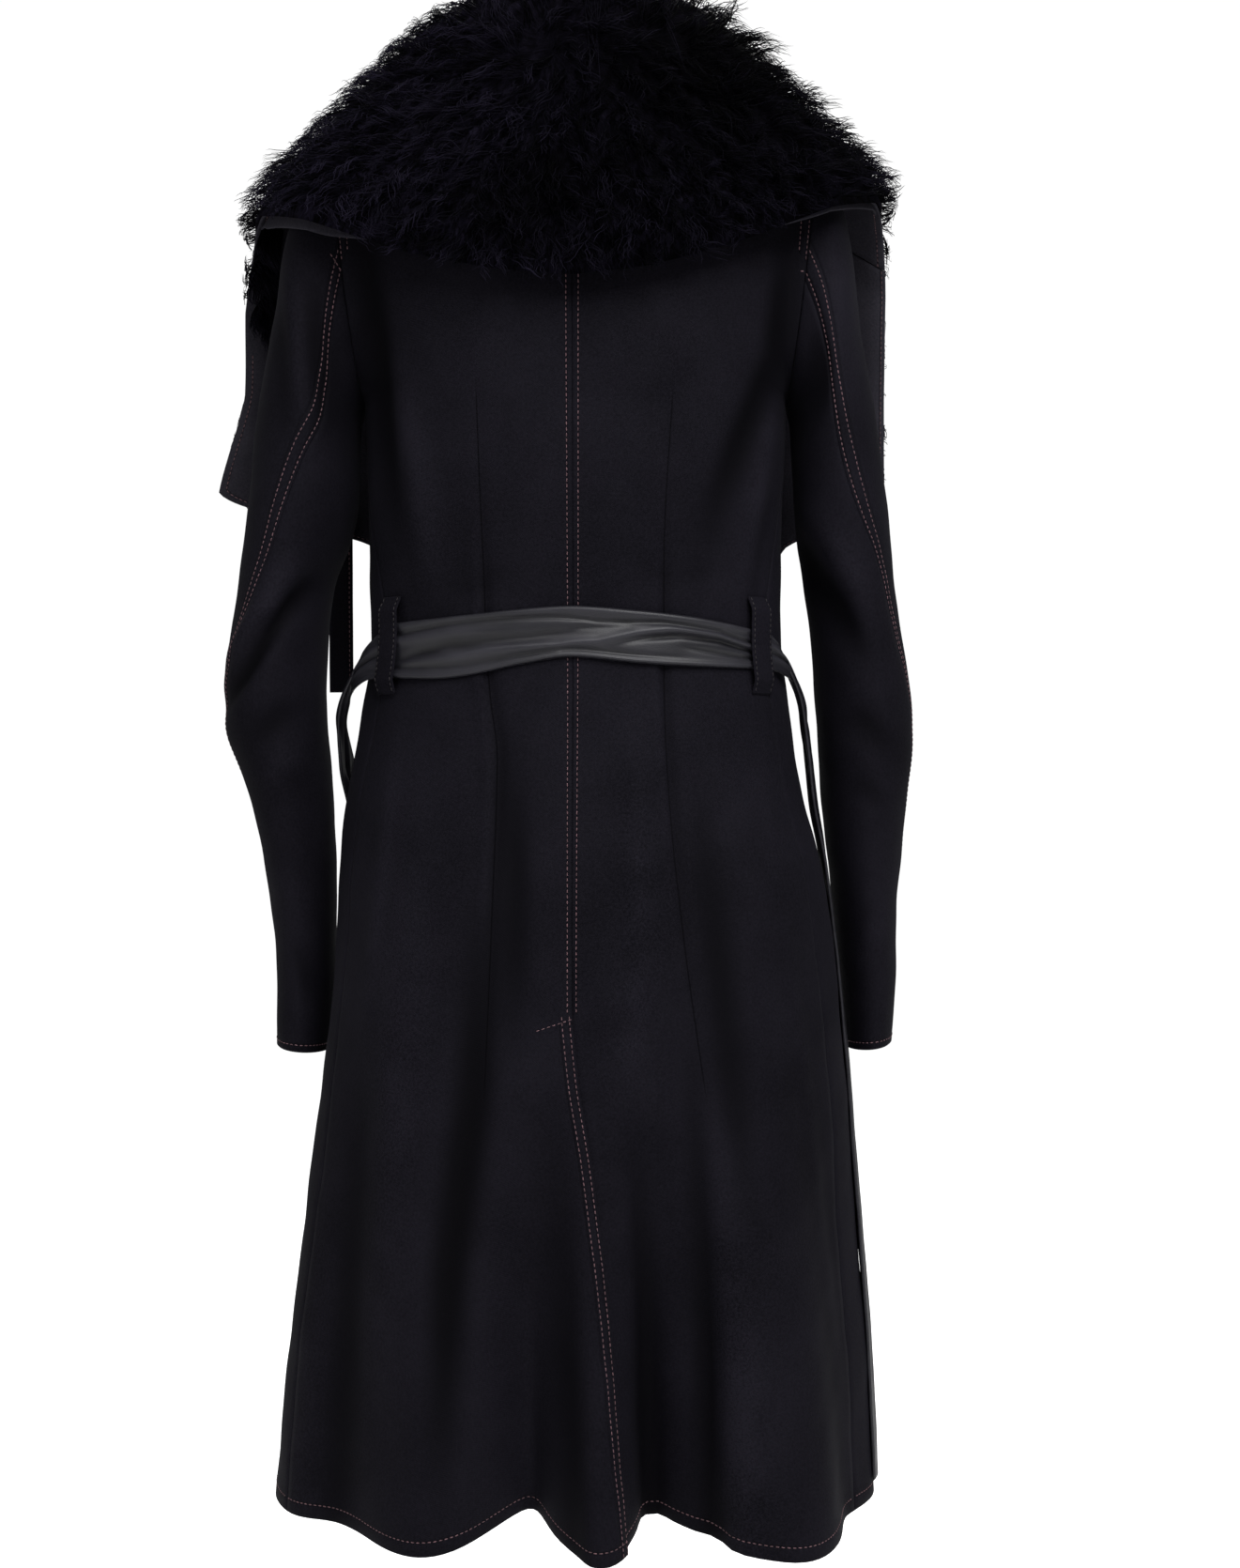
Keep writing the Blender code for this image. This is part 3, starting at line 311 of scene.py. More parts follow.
BELT_TAIL_RIGHT = Table(BELT_COLUMNS, (
    (-66.1, -0.437, 0.0012, 0.029, -4), (-74, -0.44, 0.003, 0.03, -20), (-82, -0.454, 0.008, 0.032, -48),
    (-88, -0.482, 0.013, 0.03, -74), (-90, -0.52, 0.012, 0.032, -88), (-90, -0.57, 0.0075, 0.034, -90),
    (-90, -0.66, 0.0035, 0.036, -90), (-89, -0.8, 0.003, 0.036, -90), (-88, -0.95, 0.003, 0.036, -90),
    (-87, -1.06, 0.003, 0.036, -90),
))
BELT_TAIL_LEFT = Table(BELT_COLUMNS, (
    (66.1, -0.438, 0.0012, 0.04, 4), (76, -0.444, 0.004, 0.034, 18), (86, -0.46, 0.011, 0.034, 46),
    (93, -0.49, 0.018, 0.034, 72), (98, -0.525, 0.012, 0.036, 82), (105, -0.57, 0.0045, 0.036, 76),
    (115, -0.66, 0.0035, 0.036, 82), (119, -0.8, 0.004, 0.036, 90), (119, -0.95, 0.004, 0.036, 90),
    (119, -1.035, 0.004, 0.036, 90),
))


@dataclass(frozen=True)
class Torso:
    """The form of the coat's body: rings below the chest, and a yoke of four panels above it."""

    neck_half_width: float = 0.078
    neck_back_depth: float = 0.064
    nape_z: float = -0.006
    neck_side_z: float = 0.006
    shoulder_tip: Triple = (0.182, 0.0, -0.06)
    armhole_half_depth: float = 0.066
    neck_share: float = 0.4
    power: float = 2.25
    lap_drop: float = 0.0042
    lap_angle: float = 12.0
    yoke_pull: float = 0.27

    @property
    def neck_side(self) -> Array:
        """The point where the left shoulder seam meets the neck."""
        return np.array([self.neck_half_width, 0.0, self.neck_side_z])

    def ring(self, angle: Array, height: Array) -> Array:
        """Find places on the coat's outer face, the skirt's folds included.

        Args:
            angle: Angles in degrees from the middle of the back, towards the wearer's left.
            height: Heights.

        Returns:
            The points.
        """
        angle, height = np.broadcast_arrays(np.asarray(angle, float), np.asarray(height, float))
        side, back = np.sin(np.radians(angle)), np.cos(np.radians(angle))
        left, right, rear, front = BODY_LEVELS.all_at("left right back front", height)
        out_x, out_y = side / np.where(side >= 0.0, left, right), back / np.where(back >= 0.0, rear, front)
        reach = (np.abs(out_x) ** self.power + np.abs(out_y) ** self.power) ** (-1.0 / self.power)
        push, lift = np.zeros_like(reach), np.zeros_like(reach)
        for middle, depth, width, top, lean, hem_lift in SKIRT_FOLDS.rows:
            down = np.clip((top - height) / (top - HEM_Z), 0.0, 1.0)
            away = (angle - (middle + lean * (1.0 - down)) + 180.0) % 360.0 - 180.0
            bell = np.exp(-((away / width) ** 2))
            push = push + depth * bell * down ** 1.5
            lift = lift + hem_lift * bell * down ** 3
        steep = np.hypot(out_x, out_y)
        return point(reach * side + push * out_x / steep, reach * back + push * out_y / steep, height + lift)

    def stand_off(self, angle: Array, height: Array, off: Array) -> Array:
        """Find places at some distance straight out from the coat's outer face.

        Args:
            angle: Angles from the middle of the back.
            height: Heights.
            off: Distances from the face.

        Returns:
            The points.
        """
        by_angle = self.ring(angle + 0.4, height) - self.ring(angle - 0.4, height)
        by_height = self.ring(angle, height + 0.003) - self.ring(angle, height - 0.003)
        return self.ring(angle, height) + unit(np.cross(by_height, by_angle)) * np.asarray(off)[..., None]

    def front_edge_angle(self, height: Array) -> Array:
        """Return the angle from the middle of the back to the front edge."""
        from_middle = FRONT_EDGE.at("from_middle", height)
        return 180.0 - np.degrees(np.arctan2(from_middle, BODY_LEVELS.at("front", height)))

    def armhole(self, share: Array, facing: float) -> Array:
        """Return the back (1) or front (-1) half of the armhole, from underarm (0) to shoulder (1)."""
        out, deep = np.cos(np.pi * (1.0 - share)), np.sin(np.pi * (1.0 - share))
        under_x, (tip_x, _, tip_z) = BODY_LEVELS.at("left", CHEST_Z), self.shoulder_tip
        return point((tip_x + under_x) / 2 + (tip_x - under_x) / 2 * out,
                     facing * self.armhole_half_depth * deep,
                     (tip_z + CHEST_Z) / 2 + (tip_z - CHEST_Z) / 2 * out)

    def armhole_plane(self, side: Side) -> tuple[Array, Array]:
        """Return a point of the armhole's plane and the direction out of the body."""
        tip = np.array(self.shoulder_tip)
        rise = tip - np.array([BODY_LEVELS.at("left", CHEST_Z), 0.0, CHEST_Z])
        return mirrored(tip, side.value), mirrored(unit(np.array([rise[2], 0.0, -rise[0]])), side.value)

    def roll_line(self, share: Array) -> Array:
        """Return the left roll line on the chest, from chest level (0) to the neck's side (1)."""
        start = self.ring(self.front_edge_angle(CHEST_Z), CHEST_Z)
        pulls = np.array([0.04, -0.02, 0.25]), np.array([-0.01, 0.24, 0.07])
        return hermite(start, self.neck_side, *pulls, share)

    def neck_back(self, share: Array) -> Array:
        """Return the left half of the back neck seam, from the nape (0) to the neck's side (1)."""
        turn = share * np.pi / 2
        return point(self.neck_half_width * np.sin(turn), self.neck_back_depth * np.cos(turn),
                     self.nape_z + (self.neck_side_z - self.nape_z) * share)

    def shoulder_seam(self, share: Array) -> Array:
        """Return the left shoulder seam, from the neck's side (0) to the shoulder tip (1)."""
        return self.neck_side + (np.array(self.shoulder_tip) - self.neck_side) * np.asarray(share)[..., None]

    def rise_to(self, end: Array, arrive: Array, angle: Array, up: Array) -> Array:
        """Return curves that go on up from the chest at an angle, smoothly, to a yoke's upper edge."""
        start = self.ring(angle, CHEST_Z)
        leave = self.yoke_pull * (start - self.ring(angle, CHEST_Z - 0.01)) / 0.01
        return hermite(start, end, leave, arrive, up)

    def yoke(self, across: Array, up: Array, facing: float) -> Array:
        """Find places on the left yoke, which keeps to the armhole and, in front, to the roll line.

        Args:
            across: Places from the middle (0) to the side (1).
            up: Places from the chest (0) to the shoulder (1).
            facing: 1 for the back and -1 for the front.

        Returns:
            The points.
        """
        middle = 0.0 if facing > 0 else self.front_edge_angle(CHEST_Z)
        side_pull = np.array([0.0, -facing * self.yoke_pull, 0.07])
        end, arrive = self.shoulder_seam(across), side_pull
        if facing > 0:
            neck_part = np.clip(across / self.neck_share, 0.0, 1.0)
            seam_part = np.clip((across - self.neck_share) / (1.0 - self.neck_share), 0.0, 1.0)
            end = np.where((across < self.neck_share)[..., None], self.neck_back(neck_part),
                           self.shoulder_seam(seam_part))
            arrive = point(0.0, -0.13 - 0.14 * neck_part, 0.2 - 0.13 * neck_part)
        panel = self.rise_to(end, arrive, middle + (90.0 - middle) * across, up)
        side_line = self.rise_to(np.array(self.shoulder_tip), side_pull, 90.0, up)
        panel = panel + (across ** 3)[..., None] * (self.armhole(up, facing) - side_line)
        if facing < 0:
            edge_line = self.rise_to(self.neck_side, side_pull, middle, up)
            panel = panel + ((1.0 - across) ** 3)[..., None] * (self.roll_line(up) - edge_line)
        return panel

    def panel(self, side: Side, facing: Facing) -> Surface:
        """Return the surface of a back or front panel.

        Args:
            side: The wearer's left or right.
            facing: Back or front.

        Returns:
            A surface whose across runs from the middle (0) to the side (1), and whose up runs
            from the hem (0) by chest level (1) to the shoulder (2).
        """
        hand = side.value

        def surface(across: Array, up: Array) -> Array:
            """Return places of the panel."""
            height = HEM_Z + (CHEST_Z - HEM_Z) * np.clip(up, 0.0, 1.0)
            vent = VENT_EDGE.at("angle", height)
            if facing is Facing.FRONT:
                middle = self.front_edge_angle(height)
            elif side is Side.LEFT:
                middle = vent
            else:
                middle = -self.lap_angle * ramp(-height, -VENT_TOP_Z, -VENT_TOP_Z + 0.03)
            angle = hand * (middle + (BODY_LEVELS.at("side_seam", height) - middle) * across)
            lower = self.ring(angle, height)
            if side is Side.RIGHT and facing is Facing.BACK:
                drop = (self.lap_drop * ramp(-height, -VENT_TOP_Z - 0.06, -VENT_TOP_Z - 0.022)
                        * ramp(angle, vent - 11.0, vent - 2.0))
                lower = self.stand_off(angle, height, -drop)
            upper = mirrored(self.yoke(across, np.clip(up - 1.0, 0.0, 1.0), facing.value), hand)
            return np.where((up > 1.0)[..., None], upper, lower)

        return surface


TORSO = Torso()


@dataclass(frozen=True)
class Sleeve:
    """The form of a sleeve: tilted rings from the armhole to the cuff."""

    side: Side
    front_seam: float = 250.0

    def point(self, turn: Array, along: Array) -> Array:
        """Return the sleeve at a turn in degrees (0 outside, 90 back, 180 inside) and a ring."""
        outer_x, outer_z, inner_x, inner_z = (
            SLEEVE_RINGS.at(f"{self.side.word}_{place}", along)
            for place in ("outer_x", "outer_z", "inner_x", "inner_z"))
        back_y, front_y = SLEEVE_RINGS.all_at("back_y front_y", along)
        out, back = np.cos(np.radians(turn)), np.sin(np.radians(turn))
        return point(self.side.value * ((outer_x + inner_x) / 2 + out * (outer_x - inner_x) / 2),
                     (back_y + front_y) / 2 + back * (back_y - front_y) / 2,
                     (outer_z + inner_z) / 2 + out * (outer_z - inner_z) / 2)

    def panel(self, upper: bool) -> Surface:
        """Return the surface of the top or under sleeve, whose across runs between its seams."""

        def surface(across: Array, along: Array) -> Array:
            """Return places between the seams, at rings of the sleeve."""
            seam = SLEEVE_SEAM.at(self.side.word, along)
            if upper:
                turn = self.front_seam - 360.0 + (seam - self.front_seam + 360.0) * across
            else:
                turn = seam + (self.front_seam - seam) * across
            return self.point(turn, along)

        return surface


@dataclass(frozen=True)
class CollarForm:
    """The form of the collar and lapels, from the neck seam over the roll to the outer edge."""

    guides_at: tuple[float, ...] = (0.0, 0.2, 0.58, 1.0)
    end: float = 5.6
    lapel_from: float = 5.62
    lapel_end: float = 15.0
    lapel_lift: float = 0.002
    neck_lift: float = 0.0017

    def seam(self, line: Array) -> Array:
        """Return the seam that the left collar and lapel spring from: neck, chest, then front edge."""
        on_neck = TORSO.neck_back(np.clip(line, 0.0, 1.0))
        on_chest = TORSO.roll_line(np.clip(2.0 - line, 0.0, 1.0))
        height = CHEST_Z + (BREAK_Z - CHEST_Z) * np.clip(line - 2.0, 0.0, 1.0)
        on_edge = TORSO.ring(TORSO.front_edge_angle(height), height)
        line = np.asarray(line)[..., None]
        return np.where(line <= 1.0, on_neck, np.where(line <= 2.0, on_chest, on_edge))

    def point(self, across: Array, station: Array) -> Array:
        """Find places on the collar's cloth.

        Args:
            across: Places from the neck seam (0) to the outer edge (1).
            station: Rows counted from the middle of the back, negative on the wearer's right.

        Returns:
            The points.
        """
        place = np.abs(station)
        seam = self.seam(COLLAR_ROLL.at("line", place))
        seam = seam + point(0.0, -self.lapel_lift * ramp(place, 3.6, 5.0), self.neck_lift)
        roll = seam + point(*COLLAR_ROLL.all_at("roll_dx roll_dy roll_dz", place))
        halves = []
        for table in (COLLAR_LEFT, COLLAR_RIGHT):
            middle = point(*table.all_at("mid_x mid_y mid_z", place))
            edge = point(*table.all_at("edge_x edge_y edge_z", place, 0.4))
            halves.append(self.lay_across((seam, roll, middle, edge), np.asarray(across)))
        return np.where((np.asarray(station) >= 0.0)[..., None], halves[0], mirrored(halves[1], -1))

    def lay_across(self, guides: Sequence[Array], across: Array) -> Array:
        """Return a smooth curve through the four guide points at places across the collar."""
        at = self.guides_at
        rises = [(guides[i + 1] - guides[i]) / (at[i + 1] - at[i]) for i in range(3)]
        slopes = [rises[0]]
        for i in (1, 2):
            weight = (at[i + 1] - at[i]) / (at[i + 1] - at[i - 1])
            slopes.append(rises[i - 1] * weight + rises[i] * (1.0 - weight))
        slopes.append(rises[2])
        result = np.zeros(np.broadcast_shapes(guides[0].shape, across.shape + (3,)))
        for i in range(3):
            width = at[i + 1] - at[i]
            part = np.clip((across - at[i]) / width, 0.0, 1.0)
            piece = hermite(guides[i], guides[i + 1], slopes[i] * width, slopes[i + 1] * width, part)
            result = np.where(((across >= at[i]) | (i == 0))[..., None], piece, result)
        return result

    def pile(self, across: Array, station: Array) -> Array:
        """Return how far the fur stands off its cloth: short at the neck seam and the edges."""
        left, right = (table.at("pile", np.abs(station)) for table in (COLLAR_LEFT, COLLAR_RIGHT))
        full = np.where(np.asarray(station) >= 0.0, left, right)
        return full * (0.42 + 0.58 * ramp(across, 0.0, 0.35)) * (1.0 - 0.45 * ramp(across, 0.86, 1.0))


COLLAR = CollarForm()


@dataclass(frozen=True)
class Crease:
    """A soft trough or ridge laid as seen straight from behind or from in front.

    The path is a row of (x, z) places. A negative depth sinks the cloth and a positive one lifts
    it. Both ends fade over the fade share of its length.
    """

    facing: Facing
    depth: float
    width: float
    path: Array
    fade: float

    def relief(self, places: Array, outward: Array) -> Array:
        """Work out how far the crease moves each place along its normal.

        Args:
            places: Points on the cloth.
            outward: Their outward normals.

        Returns:
            The moves, in metres.
        """
        line, flat = self.path, places[..., (0, 2)]
        starts = run_along(line)
        best = np.full(flat.shape[:-1], 1e9)
        share = np.zeros_like(best)
        for i, way in enumerate(np.diff(line, axis=0)):
            part = np.clip(((flat - line[i]) @ way) / (way @ way), 0.0, 1.0)
            distance = np.linalg.norm(flat - (line[i] + part[..., None] * way), axis=-1)
            here = (starts[i] + part * (starts[i + 1] - starts[i])) / starts[-1]
            share = np.where(distance < best, here, share)
            best = np.minimum(distance, best)
        ends = ramp(share, 0.0, self.fade) * ramp(-share, -1.0, -1.0 + self.fade)
        seen = ramp(outward[..., 1] * self.facing.value, -0.25, 0.25)
        return self.depth * np.exp(-((best / self.width) ** 2)) * ends * seen


def lay_creases(facing: Facing, *rows: tuple, fade: float = 0.45) -> tuple[Crease, ...]:
    """Lay some creases.

    Args:
        facing: The side that they are seen on.
        rows: A depth, a width and the (x, z) places of each, in millimetres.
        fade: The share of its length over which each end fades.

    Returns:
        The creases.
    """
    return tuple(Crease(facing, depth / MM, width / MM, np.array(path) / MM, fade)
                 for depth, width, *path in rows)


@dataclass(frozen=True)
class Gather:
    """A long soft fold that runs along a strap.

    The path is a row of (along, across) places. The depth is in metres and the width is a share
    of the strap's width.
    """

    depth: float
    width: float
    path: Array

    def relief(self, across: Array, along: Array) -> Array:
        """Return how far the fold moves each place outward."""
        at, middle = self.path.T
        share = (along - at[0]) / (at[-1] - at[0])
        ends = ramp(share, 0.0, 0.25) * ramp(-share, -1.0, -0.75)
        return self.depth * np.exp(-(((across - np.interp(along, at, middle)) / self.width) ** 2)) * ends


def lay_gathers(*rows: tuple) -> tuple[Gather, ...]:
    """Return gathers from rows of a depth in millimetres, a width and the (along, across) places."""
    return tuple(Gather(depth / MM, width, np.array(path)) for depth, width, *path in rows)


def undulation(places: Array, amount: float, seed: float) -> Array:
    """Return a slow, uneven swell of the cloth, so that no panel is perfectly even."""
    x, y, z = np.moveaxis(places, -1, 0)
    wave = (np.sin(31.0 * x + 11.0 * z + seed) * np.sin(23.0 * z - 17.0 * y + 2.1 * seed)
            + 0.6 * np.sin(57.0 * y + 41.0 * z + 1.3 * seed) * np.sin(37.0 * x - 29.0 * z + 0.7 * seed)
            + 0.35 * np.sin(103.0 * x + 61.0 * z - seed) * np.sin(89.0 * z + 71.0 * y + seed))
    return amount * wave


def new_mesh_object(name: str, points: Array, faces: Array, material: Material) -> Object:
    """Make a smooth mesh object from arrays.

    Args:
        name: Its name.
        points: Its points, in metres.
        faces: Rows of point numbers, all of the same length.
        material: Its finish.

    Returns:
        The object, linked to the scene and riding on the coat's one body.
    """
    faces = np.asarray(faces, np.int32)
    mesh = bpy.data.meshes.new(name)
    mesh.vertices.add(len(points))
    mesh.vertices.foreach_set("co", np.asarray(points, np.float32).ravel())
    mesh.loops.add(faces.size)
    mesh.loops.foreach_set("vertex_index", faces.ravel())
    mesh.polygons.add(len(faces))
    mesh.polygons.foreach_set("loop_start", np.arange(0, faces.size, faces.shape[1], dtype=np.int32))
    mesh.polygons.foreach_set("use_smooth", np.ones(len(faces), bool))
    mesh.update(calc_edges=True)
    mesh.validate()
    mesh.materials.append(material)
    obj = bpy.data.objects.new(name, mesh)
    bpy.context.scene.collection.objects.link(obj)
    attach(obj, "root")
    return obj


def add_point_values(obj: Object, name: str, values: Array) -> None:
    """Store one number for each point under a name that materials can read."""
    stored = obj.data.attributes.new(name, "FLOAT", "POINT")
    stored.data.foreach_set("value", np.asarray(values, np.float32).ravel())


def add_uv(obj: Object, places: Array) -> None:
    """Store a UV map from one (u, v) for each point."""
    layer = obj.data.uv_layers.new(name="UVMap")
    corner = np.zeros(len(obj.data.loops), np.int32)
    obj.data.loops.foreach_get("vertex_index", corner)
    layer.data.foreach_set("uv", np.asarray(places, np.float32)[corner].ravel())


class Nodes:
    """A short way to place and join shader nodes in one tree."""

    def __init__(self, tree: Tree) -> None:
        """Keep the tree that nodes are placed in."""
        self.tree = tree

    def add(self, kind: str, **settings: object) -> Node:
        """Place a node and give it its settings."""
        node = self.tree.nodes.new(kind)
        for name, value in settings.items():
            setattr(node, name, value)
        return node

    def feed(self, node: Node, values: dict[str | int, object]) -> Node:
        """Join inputs of a node to other sockets, or set their own values.

        Args:
            node: The node.
            values: A socket or a value for each input that changes.

        Returns:
            The same node.
        """
        for name, value in values.items():
            if isinstance(value, Socket):
                self.tree.links.new(value, node.inputs[name])
            else:
                node.inputs[name].default_value = value
        return node

    def math(self, operation: str, first: object, second: object, clamp: bool = False) -> Socket:
        """Return the result of a Math node."""
        node = self.add("ShaderNodeMath", operation=operation, use_clamp=clamp)
        return self.feed(node, {0: first, 1: second}).outputs[0]

    def times(self, first: object, second: object) -> Socket:
        """Return a product."""
        return self.math("MULTIPLY", first, second)

    def plus(self, first: object, second: object, clamp: bool = False) -> Socket:
        """Return a sum."""
        return self.math("ADD", first, second, clamp)

    def noise(self, vector: Socket, scale: float, detail: float = 2.0, roughness: float = 0.5,
              distortion: float = 0.0) -> Socket:
        """Return a noise value that follows a vector."""
        node = self.add("ShaderNodeTexNoise", normalize=True)
        return self.feed(node, {"Vector": vector, "Scale": scale, "Detail": detail, "Roughness": roughness,
                                "Distortion": distortion}).outputs["Fac"]

    def spread(self, value: Socket, low: float, high: float, to_low: float, to_high: float) -> Socket:
        """Return a value moved from one range to another, and kept inside the new one."""
        node = self.add("ShaderNodeMapRange", clamp=True)
        return self.feed(node, {0: value, 1: low, 2: high, 3: to_low, 4: to_high}).outputs["Result"]

    def stretch(self, vector: Socket, scale: Triple, turn: float = 0.0) -> Socket:
        """Return a vector scaled on each axis and turned about Z."""
        node = self.add("ShaderNodeMapping", vector_type="POINT")
        self.feed(node, {"Vector": vector, "Scale": scale, "Rotation": (0.0, 0.0, turn)})
        return node.outputs["Vector"]

    def blend(self, factor: Socket, first: object, second: object) -> Socket:
        """Return a colour between two, each a socket or three parts."""
        first, second = (end if isinstance(end, Socket) else (*end, 1.0) for end in (first, second))
        node = self.add("ShaderNodeMix", data_type="RGBA", blend_type="MIX")
        return self.feed(node, {0: factor, 6: first, 7: second}).outputs[2]

    def attribute(self, name: str) -> Socket:
        """Return a number stored on the mesh."""
        return self.add("ShaderNodeAttribute", attribute_name=name).outputs["Fac"]

    def place(self, name: str) -> Socket:
        """Return the Object or UV coordinates."""
        return self.add("ShaderNodeTexCoord").outputs[name]


def new_group(name: str, inputs: dict[str, float | None], outputs: str) -> tuple[Tree, Nodes, dict, Node]:
    """Make an empty shader node group with named sockets.

    Args:
        name: Its name.
        inputs: The usual value of each input, or None for a vector.
        outputs: The names of its outputs, which are all numbers.

    Returns:
        The group, its node placer, its inputs by name and its output node.
    """
    tree = bpy.data.node_groups.new(name, "ShaderNodeTree")
    for word, value in inputs.items():
        kind = "NodeSocketVector" if value is None else "NodeSocketFloat"
        socket = tree.interface.new_socket(word, in_out="INPUT", socket_type=kind)
        if value is not None:
            socket.default_value = value
    for word in outputs.split():
        tree.interface.new_socket(word, in_out="OUTPUT", socket_type="NodeSocketFloat")
    nodes = Nodes(tree)
    start, end = nodes.add("NodeGroupInput"), nodes.add("NodeGroupOutput")
    return tree, nodes, {socket.name: socket for socket in start.outputs if socket.name}, end


class Effects:
    """The shader node groups that the finishes share, each built once."""

    made: dict[str, Tree] = {}

    @classmethod
    def get(cls, name: str) -> Tree:
        """Return a group by name, building it the first time."""
        if name not in cls.made:
            cls.made[name] = getattr(cls, f"build_{name}")()
        return cls.made[name]

    @staticmethod
    def build_wool_nap() -> Tree:
        """Build the felted nap of the wool: soft mottling, short fuzz and a faint slanting twill."""
        tree, n, given, out = new_group("wool_nap", {"Place": None, "Weave": None}, "Tone Height")
        cloud = n.noise(given["Place"], 9.0, 3.0, 0.55)
        fleck = n.noise(given["Place"], 620.0, 2.0, 0.6)
        fuzz = n.noise(n.stretch(given["Place"], (1.0, 1.0, 0.6)), 1500.0, 3.0, 0.65, 0.6)
        wave = n.add("ShaderNodeTexWave", wave_type="BANDS", bands_direction="X", wave_profile="SIN")
        n.feed(wave, {"Vector": n.stretch(given["Weave"], (1.0, 1.0, 1.0), math.radians(63.0)),
                      "Scale": 230.0, "Distortion": 1.6, "Detail": 2.0})
        twill = n.times(wave.outputs["Fac"], 0.22)
        n.feed(out, {"Tone": n.plus(n.times(cloud, 0.55), n.times(fleck, 0.45)),
                     "Height": n.plus(n.plus(n.times(fuzz, 0.8), twill), n.times(fleck, 0.5))})
        return tree

    @staticmethod
    def build_sewn_lines() -> Tree:
        """Build the dips that two rows of topstitching and a plain dart seam press into cloth."""
        tree, n, given, out = new_group("sewn_lines", {"Pair": FAR, "Single": FAR, "Dart": FAR, "Reach": 0.0},
                                        "Dip Line Swell")

        def bell(distance: Socket, width: float) -> Socket:
            """Return 1 at no distance, falling softly to 0 over the width."""
            share = n.math("DIVIDE", distance, width)
            return n.math("POWER", math.e, n.times(n.times(share, share), -1.0))

        near, far, between = (
            bell(n.math("SUBTRACT", given["Pair"], FIRST_ROW + ROW_GAP * MM * part), width)
            for part, width in ((0.0, 0.75), (1.0, 0.75), (0.5, 2.6)))
        rows = n.plus(n.plus(near, far), bell(given["Single"], 0.75), clamp=True)
        seam = n.times(bell(given["Dart"], 0.42), given["Reach"])
        valley = n.times(n.times(bell(given["Dart"], 3.2), given["Reach"]), 0.6)
        n.feed(out, {"Dip": n.plus(rows, seam), "Line": seam, "Swell": n.math("SUBTRACT", between, valley)})
        return tree

    @staticmethod
    def build_leather_grain() -> Tree:
        """Build the fine pebbled grain of soft leather, with scuffed and smoother places."""
        tree, n, given, out = new_group("leather_grain", {"Place": None}, "Wear Height")
        cells = n.feed(n.add("ShaderNodeTexVoronoi", feature="F1", distance="EUCLIDEAN"),
                       {"Vector": given["Place"], "Scale": 900.0})
        fine = n.noise(given["Place"], 1700.0, 2.0, 0.6)
        wear = n.noise(n.stretch(given["Place"], (0.6, 0.6, 1.6)), 38.0, 4.0, 0.6)
        n.feed(out, {"Wear": n.spread(wear, 0.35, 0.7, 0.0, 1.0),
                     "Height": n.plus(n.times(cells.outputs["Distance"], 0.9), n.times(fine, 0.35))})
        return tree

    @staticmethod
    def build_hair_streaks() -> Tree:
        """Build streaks that run along the pile, for the colour and the height of fur."""
        tree, n, given, out = new_group("hair_streaks", {"Weave": None}, "Tone Height")
        bent = n.noise(given["Weave"], 95.0, 2.0, 0.5)
        streak = n.noise(n.stretch(given["Weave"], (1.0, 0.22, 1.0)), 620.0, 3.0, 0.6, 1.6)
        height = n.plus(n.times(streak, 0.65), n.times(bent, 0.35))
        n.feed(out, {"Tone": n.spread(height, 0.42, 0.62, 0.0, 1.0), "Height": height})
        return tree


@dataclass(frozen=True)
class Finish:
    """What every finish has: a name, a slot word, a colour and a roughness."""

    name: str
    slot: str
    colour: Triple
    roughness: float

    def start(self) -> tuple[Material, Nodes, Node]:
        """Return a new material with its node placer and its shader."""
        material = bpy.data.materials.new(self.name)
        material.use_nodes = True
        nodes, shader = Nodes(material.node_tree), material.node_tree.nodes["Principled BSDF"]
        nodes.feed(shader, {"Base Color": (*self.colour, 1.0), "Roughness": self.roughness, "Metallic": 0.0})
        return material, nodes, shader

    def group(self, nodes: Nodes, name: str, **given: Socket) -> dict[str, Socket]:
        """Place a shared effect in the material, and return its outputs by name."""
        node = nodes.add("ShaderNodeGroup", node_tree=Effects.get(name))
        nodes.feed(node, {word.capitalize(): socket for word, socket in given.items()})
        return {socket.name: socket for socket in node.outputs}

    def sewn(self, nodes: Nodes) -> dict[str, Socket]:
        """Place the sewn lines, read from the distances stored on the piece."""
        stored = {"pair": "pair_mm", "single": "single_mm", "dart": "dart_mm", "reach": "dart_on"}
        given = {word: nodes.attribute(name) for word, name in stored.items()}
        return self.group(nodes, "sewn_lines", **given)

    def bump(self, nodes: Nodes, *layers: tuple[Socket, float, float]) -> Socket:
        """Return a normal bent by heights, each with a strength and a depth in metres."""
        last = {}
        for height, strength, depth in layers:
            node = nodes.feed(nodes.add("ShaderNodeBump"),
                              {"Strength": strength, "Distance": depth, "Height": height, **last})
            last = {"Normal": node.outputs["Normal"]}
        return last["Normal"]


